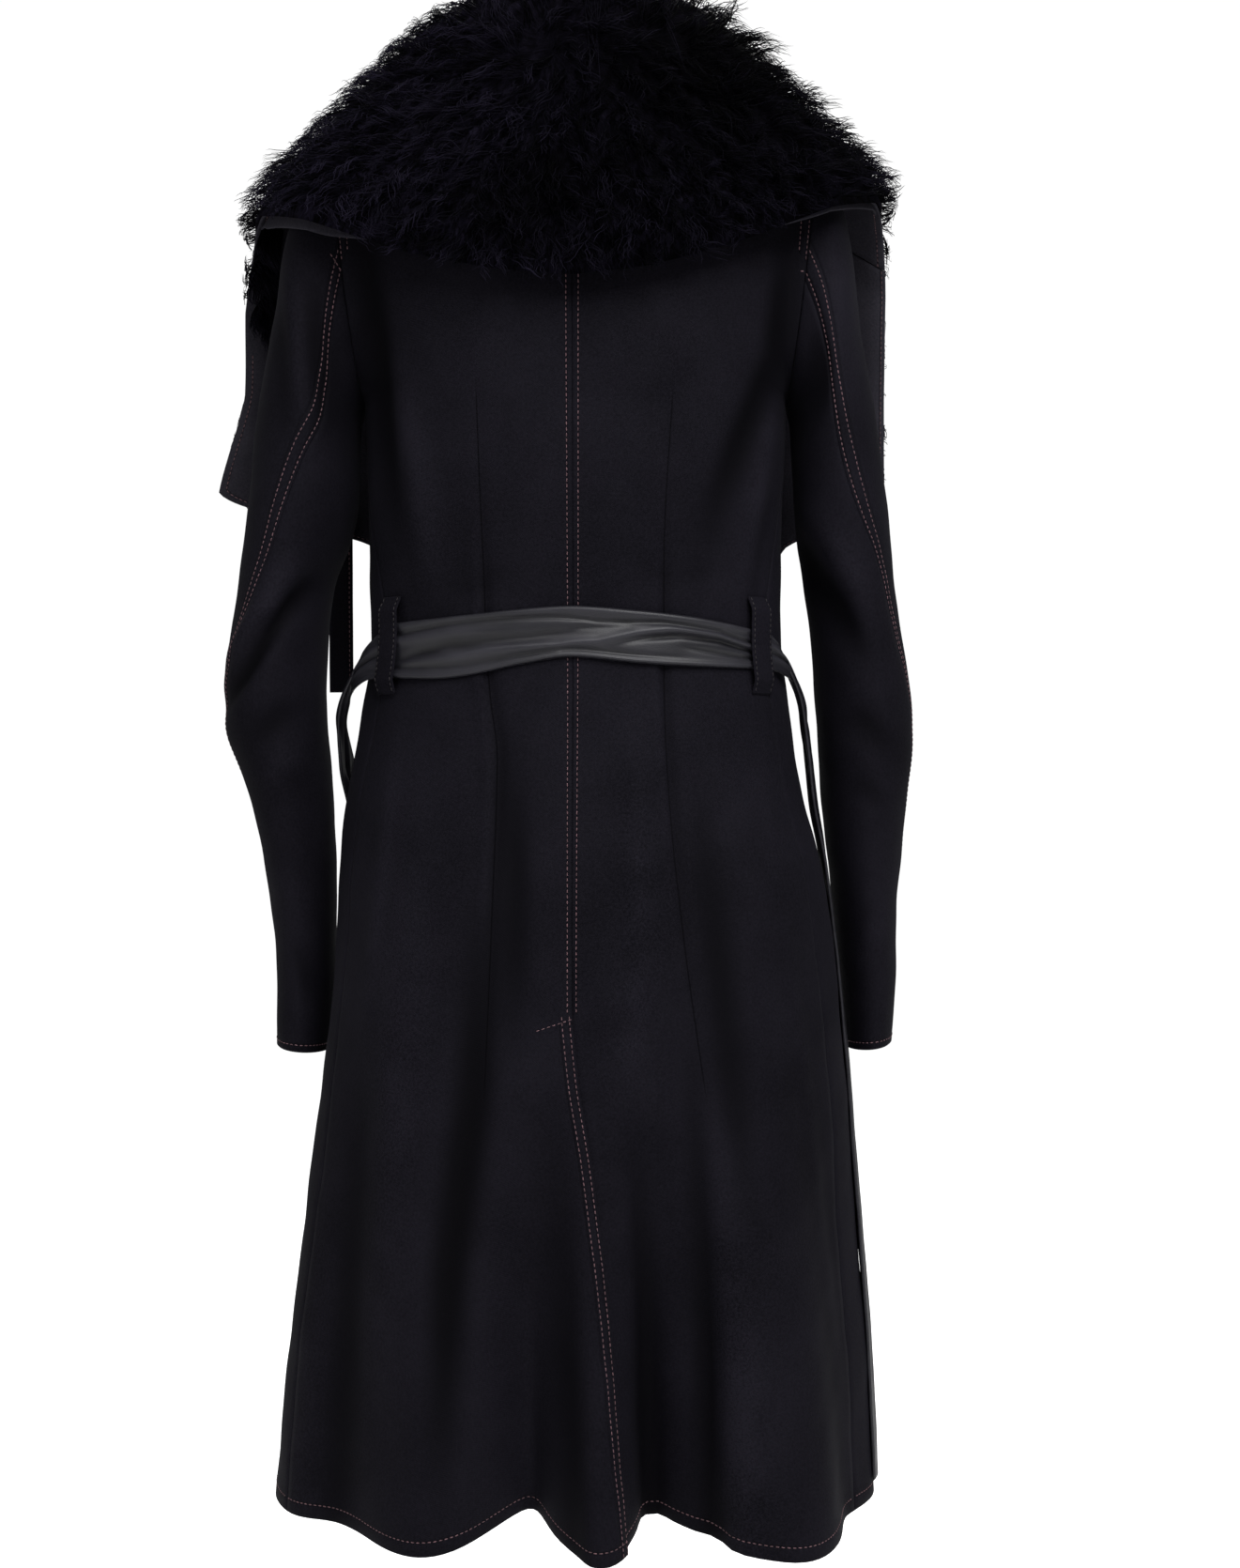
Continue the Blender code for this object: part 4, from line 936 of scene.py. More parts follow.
@dataclass(frozen=True)
class WoolFinish(Finish):
    """Dense black wool with a short nap, with painted light on its folds and painted shade in its hollows."""

    # The lighter colour of the nap's mottling, which the painted light on fold ridges also reaches.
    light: Triple = (0.0128, 0.0116, 0.0172)
    # The dark of seams and darts, which is also the painted shade in the deepest hollows.
    seam: Triple = (0.0016, 0.0014, 0.0022)
    sheen: float = 0.01
    sheen_roughness: float = 0.42
    level: float = 0.05

    def build(self) -> Material:
        """Return the wool with its nap, its sewn lines, its sheen and its painted fold light and shade."""
        material, n, shader = self.start()
        nap = self.group(n, "wool_nap", place=n.place("Object"), weave=n.place("UV"))
        sewn, fold = self.sewn(n), n.attribute("fold_mm")
        # Painted light and shade: the nap's tone is darkened in the creases' troughs and lightened on their
        # ridges, and the deepest troughs are painted towards the seam's dark colour.
        tone = n.times(n.spread(nap["Tone"], 0.36, 0.64, 0.0, 1.0), n.spread(fold, -5.0, 4.0, 0.0, 1.35))
        painted_hollow_shade = n.spread(fold, -7.0, -0.5, 0.9, 0.0)
        cloth = n.blend(painted_hollow_shade, n.blend(tone, self.colour, self.light), self.seam)
        dark = n.plus(n.times(sewn["Dip"], 0.28), n.times(sewn["Line"], 0.5), clamp=True)
        n.feed(shader, {
            "Base Color": n.blend(dark, cloth, self.seam),
            "Roughness": n.spread(nap["Tone"], 0.3, 0.7, self.roughness, self.roughness - 0.12),
            "Sheen Weight": self.sheen,
            "Sheen Roughness": self.sheen_roughness,
            "Sheen Tint": (0.8, 0.79, 0.92, 1.0),
            "Specular IOR Level": self.level,
            "Normal": self.bump(n, (sewn["Swell"], 0.55, 0.0008), (n.times(sewn["Dip"], -1.0), 0.8, 0.0006),
                                (nap["Height"], 0.5, 0.00022)),
        })
        return material


@dataclass(frozen=True)
class LeatherFinish(Finish):
    """Soft black leather with a satin gloss, greyer where its wear shows, with painted light on its fold
    ridges and painted shade in its fold troughs.
    """

    # The grey of the leather's wear, which the painted light on fold ridges also reaches.
    worn: Triple = (0.0285, 0.0275, 0.0365)
    coat: float = 0.04

    def build(self) -> Material:
        """Return the leather with its grain and its edge stitching's dip."""
        material, n, shader = self.start()
        grain, sewn = self.group(n, "leather_grain", place=n.place("Object")), self.sewn(n)
        # Painted light and shade: the fold heights lighten the ridges and darken the troughs, on top of the
        # grain's real wear.
        tone = n.plus(n.times(grain["Wear"], 0.35), n.spread(n.attribute("fold_mm"), -2.4, 2.4, 0.0, 0.65))
        n.feed(shader, {
            "Base Color": n.blend(tone, self.colour, self.worn),
            "Roughness": n.spread(grain["Wear"], 0.0, 1.0, self.roughness, self.roughness + 0.12),
            "Specular IOR Level": 0.42,
            "Coat Weight": self.coat,
            "Coat Roughness": 0.3,
            "Normal": self.bump(n, (n.times(sewn["Dip"], -1.0), 0.6, 0.0004),
                                (grain["Height"], 0.35, 0.00018)),
        })
        return material


@dataclass(frozen=True)
class FurFinish(Finish):
    """Long black pile, a little lighter and bluer towards its tips."""

    tip: Triple = (0.0235, 0.02, 0.0385)
    level: float = 0.03
    streaked: bool = False

    def build(self) -> Material:
        """Return the fur, coloured by each strand's own tone."""
        material, n, shader = self.start()
        tone = n.attribute("tone")
        if self.streaked:
            streaks = self.group(n, "hair_streaks", weave=n.place("UV"))
            tone = n.times(tone, streaks["Tone"])
            n.feed(shader, {"Normal": self.bump(n, (streaks["Height"], 1.0, 0.003))})
        n.feed(shader, {
            "Base Color": n.blend(tone, self.colour, self.tip),
            "Roughness": n.spread(tone, 0.0, 1.0, self.roughness, self.roughness - 0.1),
            "Specular IOR Level": self.level,
        })
        return material


@dataclass(frozen=True)
class ThreadFinish(Finish):
    """Twisted topstitching thread."""

    def build(self) -> Material:
        """Return the thread with small differences from stitch to stitch."""
        material, n, shader = self.start()
        change = n.spread(n.noise(n.place("Object"), 420.0, 1.0), 0.35, 0.65, 0.0, 1.0)
        darker = tuple(0.45 * part for part in self.colour)
        twist = n.noise(n.place("Object"), 5200.0, 1.0)
        n.feed(shader, {"Base Color": n.blend(change, darker, self.colour),
                        "Normal": self.bump(n, (twist, 0.5, 0.00008))})
        return material


@dataclass(frozen=True)
class FloorFinish(Finish):
    """A plain pale floor with a barely uneven tone, lit from within as a studio's table is."""

    glow: float = 0.82

    def build(self) -> Material:
        """Return the floor's material."""
        material, n, shader = self.start()
        tone = n.spread(n.noise(n.place("Object"), 3.0, 3.0), 0.3, 0.7, 0.0, 1.0)
        lighter = tuple(min(1.0, part * 1.02) for part in self.colour)
        seen = n.add("ShaderNodeLightPath").outputs["Is Camera Ray"]
        n.feed(shader, {
            "Base Color": n.blend(tone, self.colour, lighter),
            "Specular IOR Level": 0.1,
            "Emission Color": (1.0, 1.0, 1.0, 1.0),
            "Emission Strength": n.times(seen, self.glow),
        })
        return material


class Wardrobe:
    """The finishes of the coat, each made once and shared by its pieces."""

    WOOL = WoolFinish("black_wool", "wool", (0.0044, 0.004, 0.0062), 0.82)
    # A lit copy of the black wool: painted light for the lapels, the under collar and the collar's edge
    # bands.
    LAPEL_WOOL = WoolFinish("black_wool_lapel", "wool", (0.019, 0.0178, 0.0235), 0.82,
                            light=(0.047, 0.044, 0.056))
    LEATHER = LeatherFinish("soft_leather", "leather", (0.003, 0.0028, 0.0042), 0.42)
    PILE = FurFinish("long_pile", "fur", (0.0003, 0.0003, 0.0006), 0.6)
    FUR_SKIN = FurFinish("pile_ground", "fur", (0.0005, 0.0004, 0.0008), 0.8, level=0.02, streaked=True)
    THREAD = ThreadFinish("topstitch_thread", "wool", (0.215, 0.114, 0.13), 0.6)
    THREAD_DARK = ThreadFinish("loop_thread", "wool", (0.03, 0.024, 0.028), 0.6)
    FLOOR = FloorFinish("pale_floor", "", (0.9, 0.9, 0.9), 0.9)
    made: dict[str, Material] = {}

    @classmethod
    def get(cls, finish: Finish) -> Material:
        """Return the material of a finish, building it the first time."""
        if finish.name not in cls.made:
            cls.made[finish.name] = finish.build()
        return cls.made[finish.name]


class Edge(Enum):
    """The four edges of a piece, as its grid has them."""

    FIRST = "first"
    LAST = "last"
    LOW = "low"
    HIGH = "high"


@dataclass(frozen=True)
class SewnSeam:
    """Topstitching along an edge: one row or two, at insets in metres, over a share of its length.

    The insets are those at the edge's far end; at its near end they are near times as wide, and
    change over the first part of its length.
    """

    edge: Edge
    insets: tuple[float, ...]
    start: float = 0.0
    end: float = 1.0
    near: float = 1.0
    change: float = 1.0

    @property
    def lengthwise(self) -> bool:
        """Tell whether the seam runs along the piece and not across it."""
        return self.edge in (Edge.FIRST, Edge.LAST)


def even(count: int) -> Array:
    """Return evenly spaced places from 0 to 1."""
    return np.linspace(0.0, 1.0, count)


def rim_places(columns: int, rows: int) -> tuple[Array, Array]:
    """Return the columns and rows of a grid's border, once round."""
    i = np.concatenate([np.arange(columns), np.full(rows - 1, columns - 1),
                        np.arange(columns - 2, -1, -1), np.zeros(rows - 2, int)])
    j = np.concatenate([np.zeros(columns, int), np.arange(1, rows), np.full(columns - 1, rows - 1),
                        np.arange(rows - 2, 0, -1)])
    return i, j


def layer_quads(columns: int, rows: int) -> tuple[Array, Array, Array, Array]:
    """Work out the quads of a grid.

    Args:
        columns: Its columns.
        rows: Its rows.

    Returns:
        The quads that face one way, those that face the other way, and the border's points and
        the next ones, once round.
    """
    i, j = np.meshgrid(np.arange(columns - 1), np.arange(rows - 1), indexing="ij")
    a = (i * rows + j).ravel()
    b = a + rows
    rim_i, rim_j = rim_places(columns, rows)
    here = rim_i * rows + rim_j
    return (np.stack([a, b, b + 1, a + 1], axis=1), np.stack([a, a + 1, b + 1, b], axis=1),
            here, np.roll(here, -1))


@dataclass
class Sheet:
    """A cut piece of cloth or leather: two layers over a surface, with a softly rounded edge.

    The layers stand at outer_at and inner_at along the surface's own normals. seams are its
    topstitching, dart is the (x, z) path of a plain dart from its top, still fades its creases
    out and trim moves its layers where they meet other pieces.
    """

    name: str
    nodes: tuple[str, ...]
    surface: Surface
    across: Array
    along: Array
    outer_at: float
    inner_at: float
    finish: Finish
    held: str = "hung"
    rests_on: tuple[str, ...] = ()
    creases: tuple[Crease, ...] = ()
    gathers: tuple[Gather, ...] = ()
    swell: float = 0.0
    seed: float = 0.0
    seams: tuple[SewnSeam, ...] = ()
    dart: Path = ()
    round_edge: float = 0.0007
    still: Surface | None = None
    trim: Callable[[Array], None] | None = None
    outer: Array = field(init=False, repr=False)
    outward: Array = field(init=False, repr=False)
    obj: Object = field(init=False, repr=False)

    def build(self) -> Object:
        """Make the piece, and store what its finish reads.

        Returns:
            The piece's object.
        """
        grid_a, grid_b = np.meshgrid(self.across, self.along, indexing="ij")
        limits = ((self.across.min(), self.across.max()), (self.along.min(), self.along.max()))
        base = self.surface(grid_a, grid_b)
        normal = normals(self.surface, grid_a, grid_b, limits)
        hand = 1.0 if self.outer_at > self.inner_at else -1.0
        folds = sum((crease.relief(base, normal * hand) for crease in self.creases), np.zeros(grid_a.shape))
        folds = folds + sum(gather.relief(grid_a, grid_b) for gather in self.gathers)
        relief = undulation(base, self.swell, self.seed) + folds
        if self.still is not None:
            relief = relief * self.still(grid_a, grid_b)
        moved = base + normal * hand * relief[..., None]
        layers = [moved + normal * self.outer_at, moved + normal * self.inner_at]
        if self.trim is not None:
            for layer in layers:
                self.trim(layer)
        self.outer = layers[0].copy()
        slope_a, slope_b = np.gradient(self.outer, axis=0), np.gradient(self.outer, axis=1)
        self.outward = unit(np.cross(slope_a, slope_b)) * hand
        middle = (layers[0] + layers[1]) / 2
        self.draw_in(middle, -SEAM_GAP)
        for layer in layers:
            self.draw_in(layer, self.round_edge)
        points = [*(layer.reshape(-1, 3) for layer in layers), middle[rim_places(*grid_a.shape)]]
        faces = self.faces(*grid_a.shape)
        if hand < 0:
            faces = faces[:, ::-1]
        self.obj = new_mesh_object(self.name, np.concatenate(points), faces, Wardrobe.get(self.finish))
        # The folds' heights, stored here, drive the finishes' painted light on ridges and painted shade in
        # troughs.
        self.store_values(folds * MM)
        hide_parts(*self.nodes)
        return self.obj

    @staticmethod
    def faces(columns: int, rows: int) -> Array:
        """Return the quads of both layers and of the two bands round the edge."""
        count = columns * rows
        outer, inner, here, there = layer_quads(columns, rows)
        edge = 2 * count + np.arange(len(here))
        next_edge = np.roll(edge, -1)
        upper = np.stack([there, here, edge, next_edge], axis=1)
        lower = np.stack([next_edge, edge, here + count, there + count], axis=1)
        return np.concatenate([outer, inner + count, upper, lower])

    @staticmethod
    def draw_in(layer: Array, distance: float) -> None:
        """Draw a layer's border in by a distance, or out where it is negative."""
        for axis in (0, 1):
            grid = np.moveaxis(layer, axis, 0)
            for edge, inside in ((0, 1), (-1, -2)):
                grid[edge] += distance * unit(grid[inside] - grid[edge])

    def distances(self) -> dict[Edge, Array]:
        """Return how far each place of the outer layer is from each edge, over the cloth."""
        steps_a = np.linalg.norm(np.diff(self.outer, axis=0), axis=-1)
        steps_b = np.linalg.norm(np.diff(self.outer, axis=1), axis=-1)
        first = np.concatenate([np.zeros((1, steps_a.shape[1])), np.cumsum(steps_a, axis=0)])
        low = np.concatenate([np.zeros((steps_b.shape[0], 1)), np.cumsum(steps_b, axis=1)], axis=1)
        return {Edge.FIRST: first, Edge.LAST: first[-1:] - first, Edge.LOW: low, Edge.HIGH: low[:, -1:] - low}

    def distance_to(self, seam: SewnSeam) -> Array:
        """Return how far each place is from a seam's edge, scaled up where its insets narrow."""
        far = self.distances()[seam.edge]
        share = even(far.shape[1 if seam.lengthwise else 0])
        share = np.clip((share - seam.start) / max((seam.end - seam.start) * seam.change, 1e-6), 0.0, 1.0)
        scale = seam.near + (1.0 - seam.near) * share
        return far / (scale[None, :] if seam.lengthwise else scale[:, None])

    def store_values(self, folds: Array) -> None:
        """Store the UV map, and what the finish reads in millimetres.

        Args:
            folds: The folds' heights. The distances to the seams are worked out here.
        """
        far = self.distances()
        across, along = far[Edge.FIRST], far[Edge.LOW]
        share_a, share_b = np.meshgrid(even(folds.shape[0]), even(folds.shape[1]), indexing="ij")
        pair, single, dart = (np.full(folds.shape, FAR) for _ in range(3))
        for seam in self.seams:
            share = share_b if seam.lengthwise else share_a
            inside = (share >= seam.start) & (share <= seam.end)
            distance = np.where(inside, self.distance_to(seam) * MM, FAR) - seam.insets[0] * MM
            if len(seam.insets) == 2:
                pair = np.minimum(pair, distance + FIRST_ROW)
            else:
                single = np.where(inside, np.minimum(single, distance), single)
        dart_on = np.zeros(folds.shape)
        if self.dart:
            x, z = np.array(self.dart)[::-1].T
            places = self.outer[..., 2]
            dart = (self.outer[..., 0] - smooth(z, x, places)) * MM
            dart_on = ramp(places, z[0], z[0] + 0.03) * ramp(-places, -z[-1], -z[-1] + 0.03)
        rim = rim_places(*folds.shape)

        def whole(values: Array) -> Array:
            """Return a grid's values for both layers and the rim."""
            flat = values.reshape(folds.size, -1)
            return np.concatenate([flat, flat, values[rim].reshape(len(rim[0]), -1)])

        add_uv(self.obj, whole(np.stack([across - across[-1:] / 2, along], axis=-1)))
        for name, values in (("pair_mm", pair), ("single_mm", single), ("dart_mm", dart),
                             ("dart_on", dart_on), ("fold_mm", folds)):
            add_point_values(self.obj, name, whole(values))

    def declare(self, with_pieces: Sequence[Object] = ()) -> None:
        far = self.distances()
        width, length = float(far[Edge.FIRST][-1].max()), float(far[Edge.LOW][:, -1].max())
        sides_a, sides_b = np.diff(self.outer, axis=0)[:, :-1], np.diff(self.outer, axis=1)[:-1]
        area = float(np.linalg.norm(np.cross(sides_a, sides_b), axis=-1).sum())
        log.info("%s shows %.3f by %.3f m, %.4f m2", self.name, width, length, area)
        list(self.rests_on)

    def seam_line(self, seam: SewnSeam, inset: float) -> tuple[Array, Array]:
        """Find one row of stitches.

        Args:
            seam: The seam.
            inset: The row's distance from the edge.

        Returns:
            The row's points and the outward normals there.
        """
        far, points, outward = self.distance_to(seam), self.outer, self.outward
        if not seam.lengthwise:
            far, points, outward = far.T, points.transpose(1, 0, 2), outward.transpose(1, 0, 2)
        if seam.edge in (Edge.LAST, Edge.HIGH):
            far, points, outward = far[::-1], points[::-1], outward[::-1]
        count = far.shape[1]
        use = np.arange(round(seam.start * (count - 1)), round(seam.end * (count - 1)) + 1)
        places = np.array([np.interp(inset, far[:, k], np.arange(far.shape[0])) for k in use])
        low = np.minimum(places.astype(int), far.shape[0] - 2)
        part = (places - low)[:, None]
        spots, ups = (grid[low, use] * (1 - part) + grid[low + 1, use] * part for grid in (points, outward))
        return spots, unit(ups)


def read_along(at: Array, run: Array, values: Array) -> Array:
    """Return rows of values read at some distances along a line."""
    return np.stack([np.interp(at, run, column) for column in values.T], axis=1)


@dataclass
class Topstitching:
    """Rows of stitches on the coat, each stitch a copy of one that is modelled once."""

    length: float = 0.0029
    width: float = 0.00085
    height: float = 0.00062
    pitch: float = 0.004
    row_shift: float = 0.0009
    spots: list[Array] = field(default_factory=list)
    ways: list[Array] = field(default_factory=list)
    ups: list[Array] = field(default_factory=list)

    def master(self) -> tuple[Array, Array]:
        """Model one stitch: a round-ended stretch of thread, slightly bowed.

        Returns:
            Its points and its triangles.
        """
        bpy.ops.object.select_all(action="DESELECT")
        bpy.ops.mesh.primitive_uv_sphere_add(segments=6, ring_count=3, radius=0.5)
        bpy.ops.object.mode_set(mode="EDIT")
        bpy.ops.mesh.select_all(action="SELECT")
        bpy.ops.transform.rotate(value=math.pi / 2, orient_axis="Y", center_override=(0.0, 0.0, 0.0))
        bpy.ops.transform.resize(value=(self.length, self.width, self.height))
        bpy.ops.mesh.quads_convert_to_tris()
        bpy.ops.object.mode_set(mode="OBJECT")
        stitch = bpy.context.object
        points = np.array([v.co[:] for v in stitch.data.vertices])
        faces = np.array([p.vertices[:] for p in stitch.data.polygons])
        points[:, 2] -= 0.12 * self.height * (2.0 * points[:, 0] / self.length) ** 2
        bpy.data.objects.remove(stitch)
        return points, faces

    def along_line(self, points: Array, outward: Array, shift: float = 0.0) -> None:
        """Lay stitches end to end along a line.

        Args:
            points: The line's points.
            outward: The cloth's outward normals there.
            shift: How far into the line the first stitch starts.
        """
        run = run_along(points)
        at = np.arange(self.pitch / 2 + shift, run[-1] - self.pitch / 2, self.pitch)
        if len(at) == 0:
            return
        self.spots.append(read_along(at, run, points))
        self.ways.append(unit(read_along(at + 0.001, run, points) - read_along(at - 0.001, run, points)))
        self.ups.append(unit(read_along(at, run, outward)))

    def on_sheet(self, sheet: Sheet) -> None:
        """Lay every seam of a piece."""
        for seam in sheet.seams:
            for number, inset in enumerate(seam.insets):
                self.along_line(*sheet.seam_line(seam, inset), self.row_shift * number)

    def on_path(self, sheet: Sheet, path: Path, facing: Facing) -> None:
        """Lay a row over a piece along a path that is given as (x, z) places.

        Args:
            sheet: The piece.
            path: The places, as seen from behind or from in front.
            facing: Which of the two.
        """
        flat, outward = sheet.outer.reshape(-1, 3), sheet.outward.reshape(-1, 3)
        hidden = np.where(outward[:, 1] * facing.value > 0.05, 0.0, 1.0)
        line = np.array(path)
        run = run_along(line)
        at = np.linspace(0.0, run[-1], max(8, int(run[-1] / 0.003)))
        spots, ups = [], []
        for x, z in read_along(at, run, line):
            gap = np.hypot(flat[:, 0] - x, flat[:, 2] - z) + hidden
            near = np.argsort(gap)[:4]
            weight = 1.0 / (gap[near] + 1e-5)
            weight = weight / weight.sum()
            up = unit((outward[near] * weight[:, None]).sum(axis=0))
            spot = (flat[near] * weight[:, None]).sum(axis=0)
            spots.append((x, spot[1] - ((x - spot[0]) * up[0] + (z - spot[2]) * up[2]) / up[1], z))
            ups.append(up)
        self.along_line(np.array(spots), np.array(ups))

    def build(self, name: str, finish: Finish) -> Object:
        """Join all the stitches laid so far into one piece.

        Args:
            name: The piece's name.
            finish: Its finish.

        Returns:
            The piece's object.
        """
        shape, faces = self.master()
        spot, way, up = (np.concatenate(parts) for parts in (self.spots, self.ways, self.ups))
        side = unit(np.cross(up, way))
        up = np.cross(way, side)
        slant = np.random.default_rng(11).normal(0.0, 0.05, len(spot))[:, None]
        way, side = way + side * slant, side - way * slant
        frame = np.stack([way, side, up], axis=1)
        points = np.einsum("pk,nkc->npc", shape, frame) + (spot + up * self.height * 0.18)[:, None, :]
        faces = faces[None] + (np.arange(len(spot)) * len(shape))[:, None, None]
        obj = new_mesh_object(name, points.reshape(-1, 3), faces.reshape(-1, 3), Wardrobe.get(finish))
        log.info("%s: %d stitches", name, len(spot))
        return obj


@dataclass
class Garment:
    """What the sewn parts of the coat share: their sheets, and how they are stitched."""

    sheets: list[Sheet] = field(default_factory=list)

    def add(self, sheet: Sheet) -> Sheet:
        """Build a sheet and keep it."""
        sheet.build()
        self.sheets.append(sheet)
        log.info("%s: %d faces", sheet.name, len(sheet.obj.data.polygons))
        return sheet

    def sew(self, name: str, sheets: Sequence[Sheet], paths: Sequence[tuple[Sheet, Path]] = (),
            finish: Finish = Wardrobe.THREAD) -> None:
        """Args:
            name: The name of the joined stitches.
            sheets: The pieces whose seams are sewn.
            paths: Further rows, each a piece and a path of (x, z) places on the coat's back.
            finish: The thread.
        """
        thread = Topstitching()
        for sheet in sheets:
            thread.on_sheet(sheet)
        for sheet, path in paths:
            thread.on_path(sheet, path, Facing.BACK)
        stitches = thread.build(name, finish)
        for number, sheet in enumerate(sheets):
            sheet.declare([stitches] if number == 0 else [])


@dataclass
class Body(Garment):
    """The two backs, which lap at the vent, and the two fronts."""

    columns: int = 54
    rows: int = 160
    hem_inset: float = 0.01
    seam_inset: float = 0.005
    edge_insets: tuple[float, float] = (0.0018, 0.0072)
    armhole_insets: tuple[float, float] = (0.0018, 0.0018 + ROW_GAP)
    armhole_start: float = 1.5
    vent_bar: Path = tuple((-0.0007 + 0.0291 * t, -0.701 - 0.01 * t) for t in (0.0, 0.25, 0.5, 0.75, 1.0))
    armhole_bar: Path = ((-0.17, -0.159), (-0.1635, -0.159))
    left_dart: Path = ((0.0693, -0.242), (0.0655, -0.36), (0.06, -0.47), (0.054, -0.52), (0.0572, -0.64),
                       (0.0625, -0.769))
    right_dart: Path = ((-0.0725, -0.242), (-0.0657, -0.377), (-0.0657, -0.45), (-0.0702, -0.56),
                        (-0.0792, -0.647), (-0.0954, -0.764))
    creases: tuple[Crease, ...] = (
        *lay_creases(
            Facing.BACK,
            (-6.5, 12, (160, -60), (150, -175), (141, -260), (124, -410)),
            (4.2, 13, (136, -200), (112, -317), (104, -420)),
            (-6.5, 12, (-166, -80), (-152, -225), (-107, -327), (-88, -410)),
            (3.6, 9, (-160, -180), (-138, -317), (-131, -430)),
            (-3.4, 6, (-152, -270), (-128, -430)),
            (-1.6, 8, (30, -380), (75, -395), (125, -385)),
            (-1.4, 8, (-28, -372), (-70, -388), (-118, -378)),
            (-2.2, 5, (69.3, -222), (62.5, -450), (51.7, -512), (62.5, -789)),
            (1.4, 4, (74.3, -242), (68.5, -450), (59.7, -530), (66.5, -749)),
            (-2.2, 5, (-72.5, -222), (-65.7, -377), (-65.7, -450), (-79.2, -647), (-95.4, -784)),
            (1.4, 4, (-66.0, -242), (-59.7, -450), (-72.2, -627), (-87.0, -754)),
            (-4.0, 12, (48, -470), (41, -612), (44, -760)),
            (-7.0, 14, (62, -560), (70, -760), (86, -880), (94, -1100)),
            (4.5, 12, (-45, -440), (-47, -625), (-37, -850)),
            (-4.2, 13, (-84, -480), (-108, -690), (-130, -920)),
            (-7.0, 8, (-40, -700), (-53, -900), (-57, -1060), (-58, -1400)),
            (-6.4, 10, (-78, -640), (-92, -860), (-98, -1060), (-100, -1400)),
            (4.5, 16, (-100, -700), (-119, -1040), (-124, -1300)),
            (-4.0, 11, (10, -740), (0, -1050), (-4, -1300)),
            (4.2, 20, (111, -500), (125, -744), (142, -1020)),
            (-4.0, 15, (140, -640), (168, -960), (190, -1250)),
            (2.8, 6, (-131, -470), (-170, -755), (-201, -1020), (-220, -1250)),
            (-3.0, 9, (-143, -560), (-184, -860), (-215, -1250)),
            (2.4, 6, (129, -463), (135, -553), (154, -750)),
            (3.2, 15, (176, -760), (190, -930), (214, -1250)),
        ),
        *lay_creases(
            Facing.FRONT,
            (-3.0, 17, (90, -150), (104, -220), (118, -310)),
            (-3.4, 16, (-88, -160), (-104, -230), (-120, -300)),
            (-1.6, 8, (50, -372), (90, -392), (130, -382)),
            (-1.5, 8, (-46, -380), (-92, -396), (-128, -388)),
            (-2.8, 16, (66, -480), (78, -640), (98, -820)),
            (-2.6, 17, (-60, -470), (-76, -620), (-90, -800)),
            (2.4, 15, (130, -560), (150, -740), (166, -940)),
            (2.6, 14, (-126, -540), (-146, -720), (-170, -960)),
            (-2.2, 13, (44, -800), (56, -920), (60, -1040)),
            (2.2, 14, (-50, -820), (-58, -930), (-66, -1050)),
        ),
    )

    def trim_to_seams(self, side: Side, facing: Facing, along: Array) -> Callable[[Array], None]:
        """Return what keeps a panel's layers inside the shoulder seam and the armhole's plane."""
        on_plane, away = TORSO.armhole_plane(side)

        def trim(layer: Array) -> None:
            """Keep one layer inside both."""
            top = layer[:, -1]
            top[:, 1] = facing.value * np.maximum(facing.value * top[:, 1], SEAM_GAP / 2)
            rim = layer[-1, along > 1.0]
            past = np.maximum((rim - on_plane) @ away, 0.0)
            layer[-1, along > 1.0] = rim - past[:, None] * away

        return trim

    def build(self) -> None:
        """Make the four panels and sew them."""
        lower = (self.rows * 3) // 4
        along = np.concatenate([even(lower), np.linspace(1.0, 2.0, self.rows - lower + 1)[1:]])
        vent_up = (VENT_TOP_Z - HEM_Z) / (CHEST_Z - HEM_Z)
        vent_share, head = (float(np.interp(up, along, even(self.rows)))
                            for up in (vent_up, self.armhole_start))
        hem, edge = SewnSeam(Edge.LOW, (self.hem_inset,)), SewnSeam(Edge.FIRST, self.edge_insets)
        back_seam = SewnSeam(Edge.FIRST, (self.seam_inset,), start=vent_share, near=0.6)
        armhole = SewnSeam(Edge.LAST, self.armhole_insets, start=head, end=0.95)
        vent = SewnSeam(Edge.FIRST, self.edge_insets, end=vent_share)
        panels = (
            (Side.LEFT, Facing.BACK, (vent, armhole, back_seam, hem), self.left_dart),
            (Side.RIGHT, Facing.BACK, (armhole, back_seam, hem), self.right_dart),
            (Side.LEFT, Facing.FRONT, (edge, hem), ()),
            (Side.RIGHT, Facing.FRONT, (edge, hem), ()),
        )

        def still(places: Array, up: Array) -> Array:
            """Fade the creases out at the armhole and at the shoulder."""
            outside = ramp(places, 0.9, 1.0)
            return 1.0 - outside * ramp(up, 0.95, 1.06) - (1.0 - outside) * ramp(up, 1.82, 2.0)

        for side, facing, seams, dart in panels:
            name = f"{facing.name.lower()}_{side.word}"
            self.add(Sheet(
                f"coat_{name}", (name,), TORSO.panel(side, facing), even(self.columns), along, 0.0,
                CLOTH * side.value * facing.value, Wardrobe.WOOL, creases=self.creases, swell=0.0009,
                seed=1.7, seams=seams, dart=dart, still=still, rests_on=("under_collar",),
                trim=self.trim_to_seams(side, facing, along),
            ))
        back_left, back_right, *fronts = self.sheets
        self.sew("back_stitches", (back_left, back_right),
                 [(back_left, self.vent_bar), (back_right, self.armhole_bar)])
        self.sew("front_stitches", fronts)


